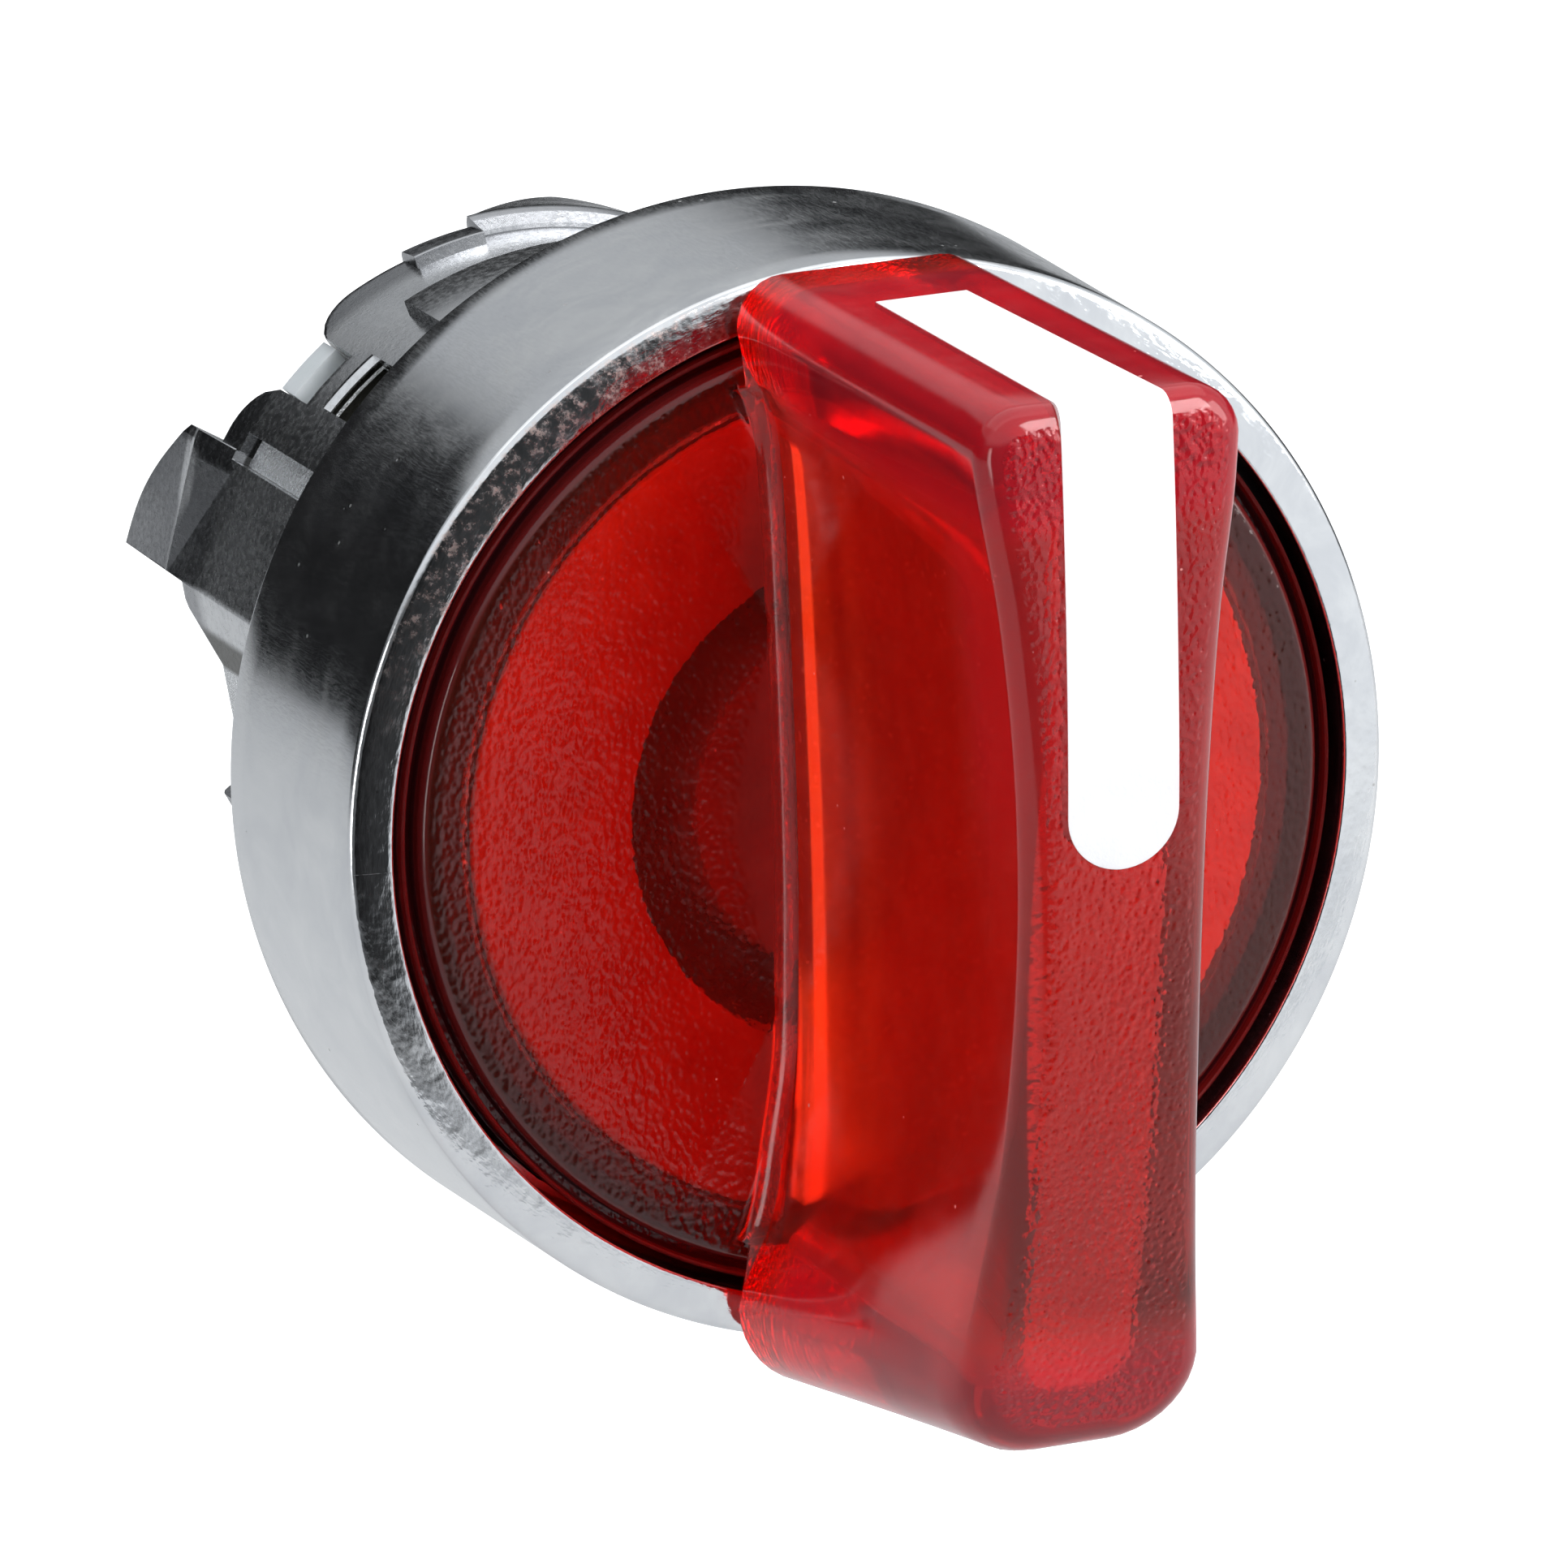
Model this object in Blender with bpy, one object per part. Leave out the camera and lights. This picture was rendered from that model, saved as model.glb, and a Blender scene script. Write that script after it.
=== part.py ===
"""Illuminated rotary selector head for a 22 mm control panel hole.

A three-position, stay-put selector: a red translucent knob with a white
pointer turns in a chromed die-cast bezel.  Behind the panel the knob's rotor
carries a swash cam that drives two push rods in opposite senses.

Frame: metres, +Z up, the knob turns about the Y axis.  The origin is on that
axis in the plane of the panel's front face; the knob faces -Y and the shank
passes through the panel towards +Y.  Azimuths are measured about the Y axis
from +X towards +Z.
"""
import math

import bmesh
import bpy
from mathutils import Vector

MM = 0.001

# ---- driving dimensions, in millimetres and degrees -----------------------
BEZEL_R_FRONT = 14.50        # outer radius at the front edge of the bezel
BEZEL_R_BACK = 14.69         # outer radius at the panel face, with draft
BEZEL_FRONT_Y = -8.96        # front face of the bezel
BEZEL_BORE_R = 13.34         # opening that the knob turns in
CUP_FLOOR_Y = -2.60          # floor of the bezel cup
PANEL_SPIGOT_R = 11.00       # fits the 22.3 mm panel hole
SPIGOT_END_Y = 7.00
BAND_END_Y = 12.40           # rear edge of the raised band
TUBE_R = 10.30               # outer radius of the rear tube
TUBE_BORE_R = 9.35
RIM_Y = 16.70                # rear rim of the tube
LUG_RIDGE_R = 10.80
LUG_RIDGE_Y = 17.05
LUG_END_R = 10.40
GASKET_IN_R, GASKET_OUT_R = 11.60, 12.90

DISC_FRONT_Y = -9.00         # front face of the knob's disc
DISC_R = 12.60
DISC_BACK_Y = -8.00           # the disc's back inside its thicker rim
KNOB_TRAVEL_DEG = 45.0       # either side of the upright position
ROD_TRAVEL = 1.50            # push rod stroke at the end of that travel
ROD_R = 7.15                 # distance of the push rods from the axis
CAM_MEAN_Y = 10.00
CAM_RAMP_DEG = 58.0          # half angle of each cam ramp
GAP = 0.30                   # running gap between neighbouring pieces

CLEAR_SEGMENTS = 72          # facets round the visible edge of the knob
INNER_SEGMENTS = 36


# ---- small modelling helpers ----------------------------------------------
def rad(a):
    return math.radians(a)


def wipe_scene():
    for ob in list(bpy.data.objects):
        bpy.data.objects.remove(ob, do_unlink=True)


def material(name, colour, roughness, metallic=0.0, transmission=0.0):
    mat = bpy.data.materials.new(name)
    mat.use_nodes = True
    shader = mat.node_tree.nodes["Principled BSDF"]
    shader.inputs["Base Color"].default_value = (*colour, 1.0)
    shader.inputs["Roughness"].default_value = roughness
    shader.inputs["Metallic"].default_value = metallic
    shader.inputs["Transmission Weight"].default_value = transmission
    return mat


def finish_mesh(bm, name, mat, origin=(0.0, 0.0, 0.0), smooth_angle=32.0, guide=False):
    """Turn a bmesh (in millimetres) into an object in metres."""
    bmesh.ops.recalc_face_normals(bm, faces=bm.faces)
    if bm.calc_volume(signed=True) < 0:
        bmesh.ops.reverse_faces(bm, faces=bm.faces)
    org = Vector(origin)
    for v in bm.verts:
        v.co = (v.co - org) * MM
    mesh = bpy.data.meshes.new(name)
    bm.to_mesh(mesh)
    bm.free()
    ob = bpy.data.objects.new(name, mesh)
    ob.location = org * MM
    bpy.context.scene.collection.objects.link(ob)
    mesh.shade_smooth()
    mesh.set_sharp_from_angle(angle=rad(smooth_angle))
    if mat is not None:
        mesh.materials.append(mat)
    if guide:
        ob.hide_render = True
        ob.display_type = "WIRE"
    return ob


def polar(r, y, azimuth):
    a = rad(azimuth)
    return Vector((r * math.cos(a), y, r * math.sin(a)))


def skin_rows(bm, rows, close_rows, close_columns):
    """Quads between rows of vertices that all have the same count."""
    n = len(rows)
    m = len(rows[0])
    for i in range(n if close_rows else n - 1):
        a, b = rows[i], rows[(i + 1) % n]
        for j in range(m if close_columns else m - 1):
            k = (j + 1) % m
            bm.faces.new((a[j], a[k], b[k], b[j]))


def ring_body(name, mat, azimuths, section, **kw):
    """Closed ring: section(azimuth) gives a closed loop of (y, r) points."""
    bm = bmesh.new()
    rows = [[bm.verts.new(polar(r, y, a)) for (y, r) in section(a)] for a in azimuths]
    skin_rows(bm, rows, True, True)
    return finish_mesh(bm, name, mat, **kw)


def arc_body(name, mat, azimuths, section, **kw):
    """Part of a ring, with a flat end at the first and last azimuth."""
    bm = bmesh.new()
    rows = [[bm.verts.new(polar(r, y, a)) for (y, r) in section(a)] for a in azimuths]
    skin_rows(bm, rows, False, True)
    bm.faces.new(rows[0])
    bm.faces.new(list(reversed(rows[-1])))
    return finish_mesh(bm, name, mat, **kw)


def lathe(name, mat, loop, segments=INNER_SEGMENTS, **kw):
    steps = [360.0 * i / segments for i in range(segments)]
    return ring_body(name, mat, steps, lambda a: loop, **kw)


def turned_solid(name, mat, profile, segments=INNER_SEGMENTS, **kw):
    """Solid of revolution; the profile's first and last points are on the axis."""
    bm = bmesh.new()
    first = bm.verts.new((0.0, profile[0][0], 0.0))
    last = bm.verts.new((0.0, profile[-1][0], 0.0))
    rows = []
    for i in range(segments):
        a = 360.0 * i / segments
        rows.append([bm.verts.new(polar(r, y, a)) for (y, r) in profile[1:-1]])
    skin_rows(bm, rows, True, False)
    for i in range(segments):
        j = (i + 1) % segments
        bm.faces.new((first, rows[i][0], rows[j][0]))
        bm.faces.new((last, rows[j][-1], rows[i][-1]))
    return finish_mesh(bm, name, mat, **kw)


def stacked_body(name, mat, rings, **kw):
    """Loft through closed rings of points, with a face over each end ring."""
    bm = bmesh.new()
    rows = [[bm.verts.new(p) for p in ring] for ring in rings]
    skin_rows(bm, rows, False, True)
    bm.faces.new(rows[0])
    bm.faces.new(list(reversed(rows[-1])))
    return finish_mesh(bm, name, mat, **kw)


def coil(name, mat, centre, y0, y1, mean_r, wire_r, turns, sides=5, per_turn=12, **kw):
    """Compression spring along Y with a closed first and last turn."""
    cx, cz = centre
    steps = int(turns * per_turn)
    rings = []
    for i in range(steps + 1):
        t = i / steps
        turn = t * turns
        lift = min(max((turn - 0.6) / (turns - 1.2), 0.0), 1.0)
        dead = 0.5 * wire_r * (min(turn, 0.6) + max(0.0, turn - turns + 0.6))
        y = y0 + wire_r + lift * (y1 - y0 - 2.0 * wire_r - 1.2 * wire_r) + 2.0 * dead
        a = 2.0 * math.pi * turn
        out = Vector((math.cos(a), 0.0, math.sin(a)))
        mid = Vector((cx, y, cz)) + out * mean_r
        ring = []
        for k in range(sides):
            b = 2.0 * math.pi * k / sides
            ring.append(mid + out * (wire_r * math.cos(b)) + Vector((0.0, wire_r * math.sin(b), 0.0)))
        rings.append(ring)
    return stacked_body(name, mat, rings, smooth_angle=70.0, **kw)


def combine(target, other, operation):
    mod = target.modifiers.new(operation.lower() + "_" + other.name, "BOOLEAN")
    mod.object = other
    mod.operation = operation
    mod.solver = "EXACT"
    return mod


def stepped_azimuths(step, edges, width=0.30):
    """Even azimuths, with a close pair at each listed edge."""
    marks = set()
    for e in edges:
        marks.add(round(e % 360.0, 4))
        marks.add(round((e + width) % 360.0, 4))
    a = 0.0
    while a < 359.99:
        if all(min(abs(a - m), 360.0 - abs(a - m)) > 0.55 * step * 0.5 for m in marks):
            marks.add(round(a, 4))
        a += step
    return sorted(marks)


# ---- the die-cast bezel and shank -----------------------------------------
BAND_SECTORS = ((30.0, 116.5), (210.0, 296.5))
NOTCH_SECTORS = ((126.9, 137.1), (306.9, 317.1))
GROOVE_SECTORS = ((145.3, 150.0), (325.3, 330.0))
LOW_RIM_SECTORS = ((181.5, 206.0),)
STOP_SECTORS = ((195.0, 217.5), (322.5, 345.0))
NOTCH_FLOOR_Y = 13.15
LOW_RIM_Y = 14.40


def inside(a, sectors):
    a %= 360.0
    return any(lo <= a <= hi for lo, hi in sectors)


def lug_end(a):
    """Rear end of a lug at this azimuth, or None between lugs."""
    for lo, hi, ylo, yhi in ((148.5, 169.4, 18.0, 21.2), (55.0, 77.9, 19.6, 19.6),
                             (77.9, 97.0, 19.6, 16.9), (328.5, 349.4, 18.0, 21.2),
                             (235.0, 257.9, 19.6, 19.6), (257.9, 277.0, 19.6, 16.9)):
        if lo <= a % 360.0 <= hi:
            return ylo + (yhi - ylo) * (a % 360.0 - lo) / (hi - lo)
    return None


def rim_end(a):
    a %= 360.0
    for lo, hi in NOTCH_SECTORS:
        if lo <= a <= hi:
            return NOTCH_FLOOR_Y
        away = min(abs(a - lo), abs(a - hi))
        if away < 6.0:                       # rounded shoulder beside the notch
            return RIM_Y - 1.5 * (1.0 - math.sqrt(1.0 - (1.0 - away / 6.0) ** 2))
    if inside(a, LOW_RIM_SECTORS):
        return LOW_RIM_Y
    for lo, hi in LOW_RIM_SECTORS:
        if lo - 7.0 < a < lo:
            return LOW_RIM_Y + (RIM_Y - LOW_RIM_Y) * (lo - a) / 7.0
    return RIM_Y


def housing_section(a):
    lug = lug_end(a)
    end = lug if lug is not None else rim_end(a)
    band = PANEL_SPIGOT_R if inside(a, BAND_SECTORS) else TUBE_R
    groove = inside(a, GROOVE_SECTORS)
    mid = 9.80 if groove else TUBE_R
    first = 9.80 if groove else band
    outer = [(SPIGOT_END_Y, PANEL_SPIGOT_R), (SPIGOT_END_Y + 0.06, first),
             (BAND_END_Y, first), (BAND_END_Y + 0.06, mid),
             (15.05, mid), (15.15, TUBE_R), (15.70, TUBE_R)]
    if lug is not None:
        ridge_y = min(LUG_RIDGE_Y, end - 0.8)
        tail = [(ridge_y, LUG_RIDGE_R), (end, LUG_END_R)]
        inner = [(end, 9.05), (RIM_Y + 0.1, 9.05), (RIM_Y - 0.2, TUBE_BORE_R)]
    else:
        tail = [(end - 0.20, TUBE_R), (end, TUBE_R - 0.20)]
        inner = [(end, TUBE_BORE_R + 0.15), (end - 0.15, TUBE_BORE_R), (end - 0.30, TUBE_BORE_R)]
    count = len(outer)
    outer = [(min(y, tail[0][0] - 0.05 * (count - i)), r) for i, (y, r) in enumerate(outer)]
    stop_y = -4.30 if inside(a, STOP_SECTORS) else CUP_FLOOR_Y
    return ([(BEZEL_FRONT_Y, BEZEL_R_FRONT - 0.30), (BEZEL_FRONT_Y + 0.30, BEZEL_R_FRONT),
             (-0.15, BEZEL_R_BACK), (0.0, BEZEL_R_BACK - 0.15),
             (0.0, GASKET_OUT_R + GAP), (-1.30, GASKET_OUT_R + GAP),
             (-1.30, GASKET_IN_R - GAP), (0.0, GASKET_IN_R - GAP),
             (0.0, PANEL_SPIGOT_R)]
            + outer + tail + inner
            + [(CUP_FLOOR_Y, TUBE_BORE_R), (CUP_FLOOR_Y - 0.03, 10.70), (stop_y - 0.05, 10.80),
               (stop_y - 0.10, BEZEL_BORE_R), (BEZEL_FRONT_Y + 0.20, BEZEL_BORE_R),
               (BEZEL_FRONT_Y, BEZEL_BORE_R + 0.15)])


def make_housing(mat):
    edges = []
    for group in (BAND_SECTORS, NOTCH_SECTORS, GROOVE_SECTORS, STOP_SECTORS, LOW_RIM_SECTORS):
        for lo, hi in group:
            edges += [lo - 0.15, hi - 0.15]
    edges += [148.35, 169.25, 54.85, 328.35, 349.25, 234.85]
    body = ring_body("bezel_body", mat, stepped_azimuths(5.0, edges), housing_section)
    # snap windows through the tube wall, one ahead of each notch
    for k, lo in enumerate((125.2, 305.2)):
        azimuths = [lo + 11.0 * i / 4 for i in range(5)]
        loop = [(8.60, 8.60), (8.60, 12.00), (11.80, 12.00), (11.80, 8.60)]
        cutter = arc_body("window_cutter_%d" % k, None, azimuths, lambda a: loop, guide=True)
        combine(body, cutter, "DIFFERENCE")
    return body


# ---- the knob: disc, handle, pointer and light guide -----------------------
def smooth_table(table, z):
    """Value at z from a short table of (z, value), with eased steps."""
    if z <= table[0][0]:
        return table[0][1]
    for (z0, v0), (z1, v1) in zip(table, table[1:]):
        if z <= z1:
            t = (z - z0) / (z1 - z0)
            return v0 + (v1 - v0) * t
    return table[-1][1]


FRONT_WAIST = ((-14.0, 3.50), (-12.5, 3.36), (-8.3, 2.90), (-5.0, 2.62), (0.0, 2.50),
               (4.5, 2.62), (8.7, 2.97), (12.0, 3.45), (15.0, 3.70))
BASE_WAIST = ((-15.0, 4.70), (-12.6, 4.45), (-10.7, 3.52), (-8.6, 3.06), (-6.4, 2.65),
              (-3.2, 2.45), (0.0, 2.35), (9.0, 2.38), (11.0, 2.60), (12.5, 3.35), (15.0, 3.60))
FRONT_DEPTH = ((-14.5, 21.45), (-12.5, 22.20), (-8.3, 23.55), (-5.0, 24.55), (0.0, 25.55),
               (4.5, 26.10), (8.7, 26.35), (12.0, 26.45), (15.0, 26.45))
HANDLE_TOP_Z = 14.55
HANDLE_TAIL_FRONT_Z = -14.15
HANDLE_TAIL_BASE_Z = -15.30
HANDLE_BASE_Y = -9.40


def handle_outline(t, inset):
    """Closed outline of the handle seen along the axis, as (x, z) points.

    t runs from 0 at the foot of the handle to 1 at its front face, and inset
    moves the outline inwards all round.
    """
    top = HANDLE_TOP_Z - inset
    tail = HANDLE_TAIL_BASE_Z + (HANDLE_TAIL_FRONT_Z - HANDLE_TAIL_BASE_Z) * t + inset

    def half(z):
        return (1.0 - t) * smooth_table(BASE_WAIST, z) + t * smooth_table(FRONT_WAIST, z) - inset

    top_corner = max(1.30 - inset, 0.35)
    tail_corner = max(2.30 - inset, 0.45)
    side = []
    w = half(tail + tail_corner)
    for i in range(5):                       # tail corner, from the middle outwards
        b = rad(90.0 * i / 4)
        side.append((w - tail_corner + tail_corner * math.sin(b), tail + tail_corner * (1.0 - math.cos(b))))
    z0, z1 = tail + tail_corner, top - top_corner
    for i in range(1, 12):
        z = z0 + (z1 - z0) * i / 12.0
        side.append((half(z), z))
    w = half(z1)
    for i in range(4):                       # top corner
        b = rad(90.0 * i / 3)
        side.append((w - top_corner + top_corner * math.cos(b), z1 + top_corner * math.sin(b)))
    return side + [(-x, z) for x, z in reversed(side)]


def handle_rings(inset, foot_y, front_back, fillet):
    """Rings of 3-D points from the foot of the handle to its front face."""
    rings = []
    for t in (0.0, 0.25, 0.5, 0.75):
        ring = []
        for x, z in handle_outline(t, inset):
            front = -smooth_table(FRONT_DEPTH, z) + front_back + fillet
            ring.append(Vector((x, foot_y + (front - foot_y) * t, z)))
        rings.append(ring)
    for i in range(4):                       # rounded edge of the front face
        b = rad(90.0 * i / 3)
        ring = []
        for x, z in handle_outline(1.0, inset + fillet * (1.0 - math.cos(b))):
            front = -smooth_table(FRONT_DEPTH, z) + front_back + fillet * (1.0 - math.sin(b))
            ring.append(Vector((x, front, z)))
        rings.append(ring)
    return rings


POINTER_HALF_W = 1.50
POINTER_LOW_Z = 2.37
POINTER_DEPTH = 0.60


def make_pointer(mat):
    """White bar let into the front face, bent over the top of the handle."""
    y_front = -smooth_table(FRONT_DEPTH, HANDLE_TOP_Z)
    rings = []
    low = POINTER_LOW_Z + POINTER_HALF_W
    rows = []
    for i in range(7):                       # half round lower end
        b = rad(90.0 * i / 6)
        rows.append((max(POINTER_HALF_W * math.sin(b), 0.18), low - POINTER_HALF_W * math.cos(b)))
    for i in range(1, 9):
        rows.append((POINTER_HALF_W, low + (HANDLE_TOP_Z - 0.9 - low) * i / 8.0))
    path = []
    for w, z in rows:
        y = -smooth_table(FRONT_DEPTH, z)
        path.append((w, Vector((0.0, y, z)), Vector((0.0, -1.0, 0.0))))
    for i in range(1, 5):                    # round the top edge
        b = rad(90.0 * i / 4)
        out = Vector((0.0, -math.cos(b), math.sin(b)))
        centre = Vector((0.0, y_front + 0.9, HANDLE_TOP_Z - 0.9))
        path.append((POINTER_HALF_W - 0.02 * i, centre + out * 0.9, out))
    for i in range(1, 5):
        t = i / 4.0
        y = y_front + 0.9 + (-13.6 - (y_front + 0.9)) * t
        path.append((POINTER_HALF_W - 0.08 - 0.17 * t, Vector((0.0, y, HANDLE_TOP_Z)), Vector((0.0, 0.0, 1.0))))
    for w, top, out in path:
        under = top - out * POINTER_DEPTH
        rings.append([top + Vector((w, 0, 0)), top - Vector((w, 0, 0)),
                      under - Vector((w, 0, 0)), under + Vector((w, 0, 0))])
    return stacked_body("pointer_inlay", mat, rings)


def pointer_cutter(mat_guide=None):
    """Groove for the pointer: GAP wider and deeper, and open to the outside."""
    y_front = -smooth_table(FRONT_DEPTH, HANDLE_TOP_Z)
    low = POINTER_LOW_Z + POINTER_HALF_W
    half = POINTER_HALF_W + GAP
    depth = POINTER_DEPTH + GAP
    path = []
    for i in range(7):
        b = rad(90.0 * i / 6)
        path.append((max(half * math.sin(b), 0.30), Vector((0.0, -smooth_table(FRONT_DEPTH, low), low - half * math.cos(b))), Vector((0.0, -1.0, 0.0))))
    for i in range(1, 9):
        z = low + (HANDLE_TOP_Z - 0.9 - low) * i / 8.0
        path.append((half, Vector((0.0, -smooth_table(FRONT_DEPTH, z), z)), Vector((0.0, -1.0, 0.0))))
    for i in range(1, 5):
        b = rad(90.0 * i / 4)
        out = Vector((0.0, -math.cos(b), math.sin(b)))
        centre = Vector((0.0, y_front + 0.9, HANDLE_TOP_Z - 0.9))
        path.append((half, centre + out * 0.9, out))
    for i in range(1, 5):
        t = i / 4.0
        y = y_front + 0.9 + (-13.3 - (y_front + 0.9)) * t
        path.append((half, Vector((0.0, y, HANDLE_TOP_Z)), Vector((0.0, 0.0, 1.0))))
    rings = []
    for w, top, out in path:
        over = top + out * 1.2
        under = top - out * depth
        rings.append([over + Vector((w, 0, 0)), over - Vector((w, 0, 0)),
                      under - Vector((w, 0, 0)), under + Vector((w, 0, 0))])
    return stacked_body("pointer_groove_cutter", None, rings, guide=True)


def pocket_outline(t, inset):
    """Outline of the light guide's pocket in the handle, as (x, z) points."""
    top = 12.05 - inset
    tail = -12.30 - 0.30 * (1.0 - t) + inset

    def half(z):
        wide = (1.0 - t) * smooth_table(BASE_WAIST, z) + t * smooth_table(FRONT_WAIST, z)
        return min(wide - 0.75, 2.05) - inset

    corner = max(1.20 - inset, 0.40)
    side = []
    w = half(tail + corner)
    for i in range(4):
        b = rad(90.0 * i / 3)
        side.append((w - corner + corner * math.sin(b), tail + corner * (1.0 - math.cos(b))))
    for i in range(1, 8):
        z = tail + corner + (top - tail - 2.0 * corner) * i / 8.0
        side.append((half(z), z))
    w = half(top - corner)
    for i in range(4):
        b = rad(90.0 * i / 3)
        side.append((w - corner + corner * math.cos(b), top - corner + corner * math.sin(b)))
    return side + [(-x, z) for x, z in reversed(side)]


def pocket_rings(inset, foot_y, wall):
    rings = []
    for t in (0.0, 0.5, 1.0):
        ring = []
        for x, z in pocket_outline(t, inset):
            front = -smooth_table(FRONT_DEPTH, z) + wall
            ring.append(Vector((x, foot_y + (front - foot_y) * t, z)))
        rings.append(ring)
    return rings


def make_knob(mat):
    disc = turned_solid("knob_lens", mat, [
        (DISC_FRONT_Y, 0.0), (DISC_FRONT_Y, DISC_R - 0.35), (DISC_FRONT_Y + 0.10, DISC_R - 0.10),
        (DISC_FRONT_Y + 0.35, DISC_R), (-8.35, DISC_R), (-8.35, 13.04), (-7.50, 13.04), (-7.50, DISC_R),
        (-5.60, DISC_R), (-5.60, 11.95), (-7.40, 11.95), (-7.40, 11.20), (DISC_BACK_Y, 11.00), (DISC_BACK_Y, 0.0)], segments=CLEAR_SEGMENTS)
    handle = stacked_body("handle_blank", None, handle_rings(0.0, HANDLE_BASE_Y, 0.0, 0.9), guide=True)
    # the foot of the handle where it grows out of the disc, kept inside the disc's edge
    foot = []
    for y in (-8.20, HANDLE_BASE_Y - 0.40):
        ring = []
        for x, z in handle_outline(0.0, 0.0):
            r = math.hypot(x, z)
            k = min(1.0, 12.0 / r)
            ring.append(Vector((x * k * 0.995, y, z * k * 0.995)))
        foot.append(ring)
    foot_ob = stacked_body("handle_foot_blank", None, foot, guide=True)
    combine(disc, foot_ob, "UNION")
    combine(disc, handle, "UNION")
    pocket = stacked_body("pocket_cutter", None, pocket_rings(0.0, -7.20, 1.55), guide=True)
    combine(disc, pocket, "DIFFERENCE")
    combine(disc, pointer_cutter(), "DIFFERENCE")
    return disc


# side view of the light guide: (y, z) from its foot over the front and back
GUIDE_SIDE = ((-13.0, 10.90), (-14.6, 10.30), (-21.4, 9.55), (-22.0, 9.20), (-22.20, 8.50), (-22.0, 3.1),
              (-21.75, 1.0), (-21.3, -1.3), (-20.7, -3.4), (-19.9, -5.3), (-18.9, -6.8), (-17.6, -8.0),
              (-16.0, -9.0), (-14.2, -9.8), (-12.0, -10.45), (-10.0, -10.8), (DISC_BACK_Y, -10.9))
GUIDE_HALF_W = 1.25


def make_light_guide(mat):
    rings = []
    for x in (-GUIDE_HALF_W, GUIDE_HALF_W):
        rings.append([Vector((x, y, z)) for y, z in ((DISC_BACK_Y, 10.90),) + GUIDE_SIDE])
    return stacked_body("light_guide", mat, rings, smooth_angle=25.0)


# ---- rotor, cam and detents -------------------------------------------------
def make_rotor(mat):
    tab = (264.0, 276.0)

    def section(a):
        reach = -3.10 if inside(a, (tab,)) else -4.55
        return [(-6.00, 6.60), (-6.00, 11.20), (-7.10, 11.20), (-7.10, 11.60), (-4.60, 11.60), (reach, 11.55), (reach, 10.75),
                (-4.60, 10.65), (-4.60, 10.35), (-3.70, 10.30), (-3.70, 8.30),
                (-2.20, 8.30), (-2.20, 7.70), (-0.40, 7.70), (-0.40, 8.30),
                (4.55, 8.30), (4.55, 7.50), (5.75, 7.50), (5.75, 8.10), (6.20, 8.10), (6.20, 6.60),
                (-0.50, 6.60), (-0.50, 4.40), (-1.50, 4.40), (-1.50, 6.60)]
    azimuths = stepped_azimuths(10.0, [tab[0] - 0.15, tab[1] - 0.15])
    return ring_body("rotor", mat, azimuths, section)


DETENTS = (45.0, 90.0, 135.0, 225.0, 270.0, 315.0)


def cam_height(a):
    """Rear face of the swash cam: two straight ramps between two flats."""
    slope = ROD_TRAVEL / KNOB_TRAVEL_DEG
    a = (a + 180.0) % 360.0 - 180.0
    if abs(a) <= CAM_RAMP_DEG:
        return CAM_MEAN_Y + slope * a
    back = a - 180.0 if a > 0 else a + 180.0
    if abs(back) <= CAM_RAMP_DEG:
        return CAM_MEAN_Y - slope * back
    return CAM_MEAN_Y + (slope * CAM_RAMP_DEG if a > 0 else -slope * CAM_RAMP_DEG)


def detent_radius(a):
    r = 8.40
    for d in DETENTS:
        away = abs((a - d + 180.0) % 360.0 - 180.0)
        r = min(r, 8.40 - 0.80 * max(0.0, 1.0 - away / 7.0))
    return r


def make_cam(mat):
    marks = set(range(0, 360, 9))
    for d in DETENTS:
        marks |= {d - 7.0, d, d + 7.0}
    marks |= {CAM_RAMP_DEG, 180.0 - CAM_RAMP_DEG, 180.0 + CAM_RAMP_DEG, 360.0 - CAM_RAMP_DEG}
    marks = sorted(float(m) for m in marks)
    marks = [m for i, m in enumerate(marks) if i == 0 or m - marks[i - 1] > 0.9]

    def section(a):
        r = detent_radius(a)
        h = cam_height(a)
        return [(4.60, 5.90), (4.60, 6.30), (6.50, 6.30), (6.50, r), (7.95, r), (8.00, 8.38),
                (h - 0.01, 8.38), (h, 8.20), (h, 5.95)]
    return ring_body("cam_ring", mat, marks, section, smooth_angle=20.0)


def make_detent_spring(name, mat, centre):
    azimuths = [centre + d for d in (-31, -28, -24, -20, -15, -10, -5, -2.5, 0, 2.5, 5, 10, 15, 20, 24, 28, 31)]

    def section(a):
        away = abs(a - centre)
        r = 8.66 - 0.64 * max(0.0, 1.0 - away / 5.0) + 0.20 * max(0.0, (away - 22.0) / 9.0)
        return [(6.75, r), (7.85, r), (7.85, r + 0.25), (6.75, r + 0.25)]
    return arc_body(name, mat, azimuths, section, smooth_angle=40.0)


def make_clip(mat):
    azimuths = [105.0 + 330.0 * i / 36 for i in range(37)]
    loop = [(4.88, 7.80), (4.88, 8.95), (5.42, 8.95), (5.42, 7.80)]
    return arc_body("retaining_clip", mat, azimuths, lambda a: loop)


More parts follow.
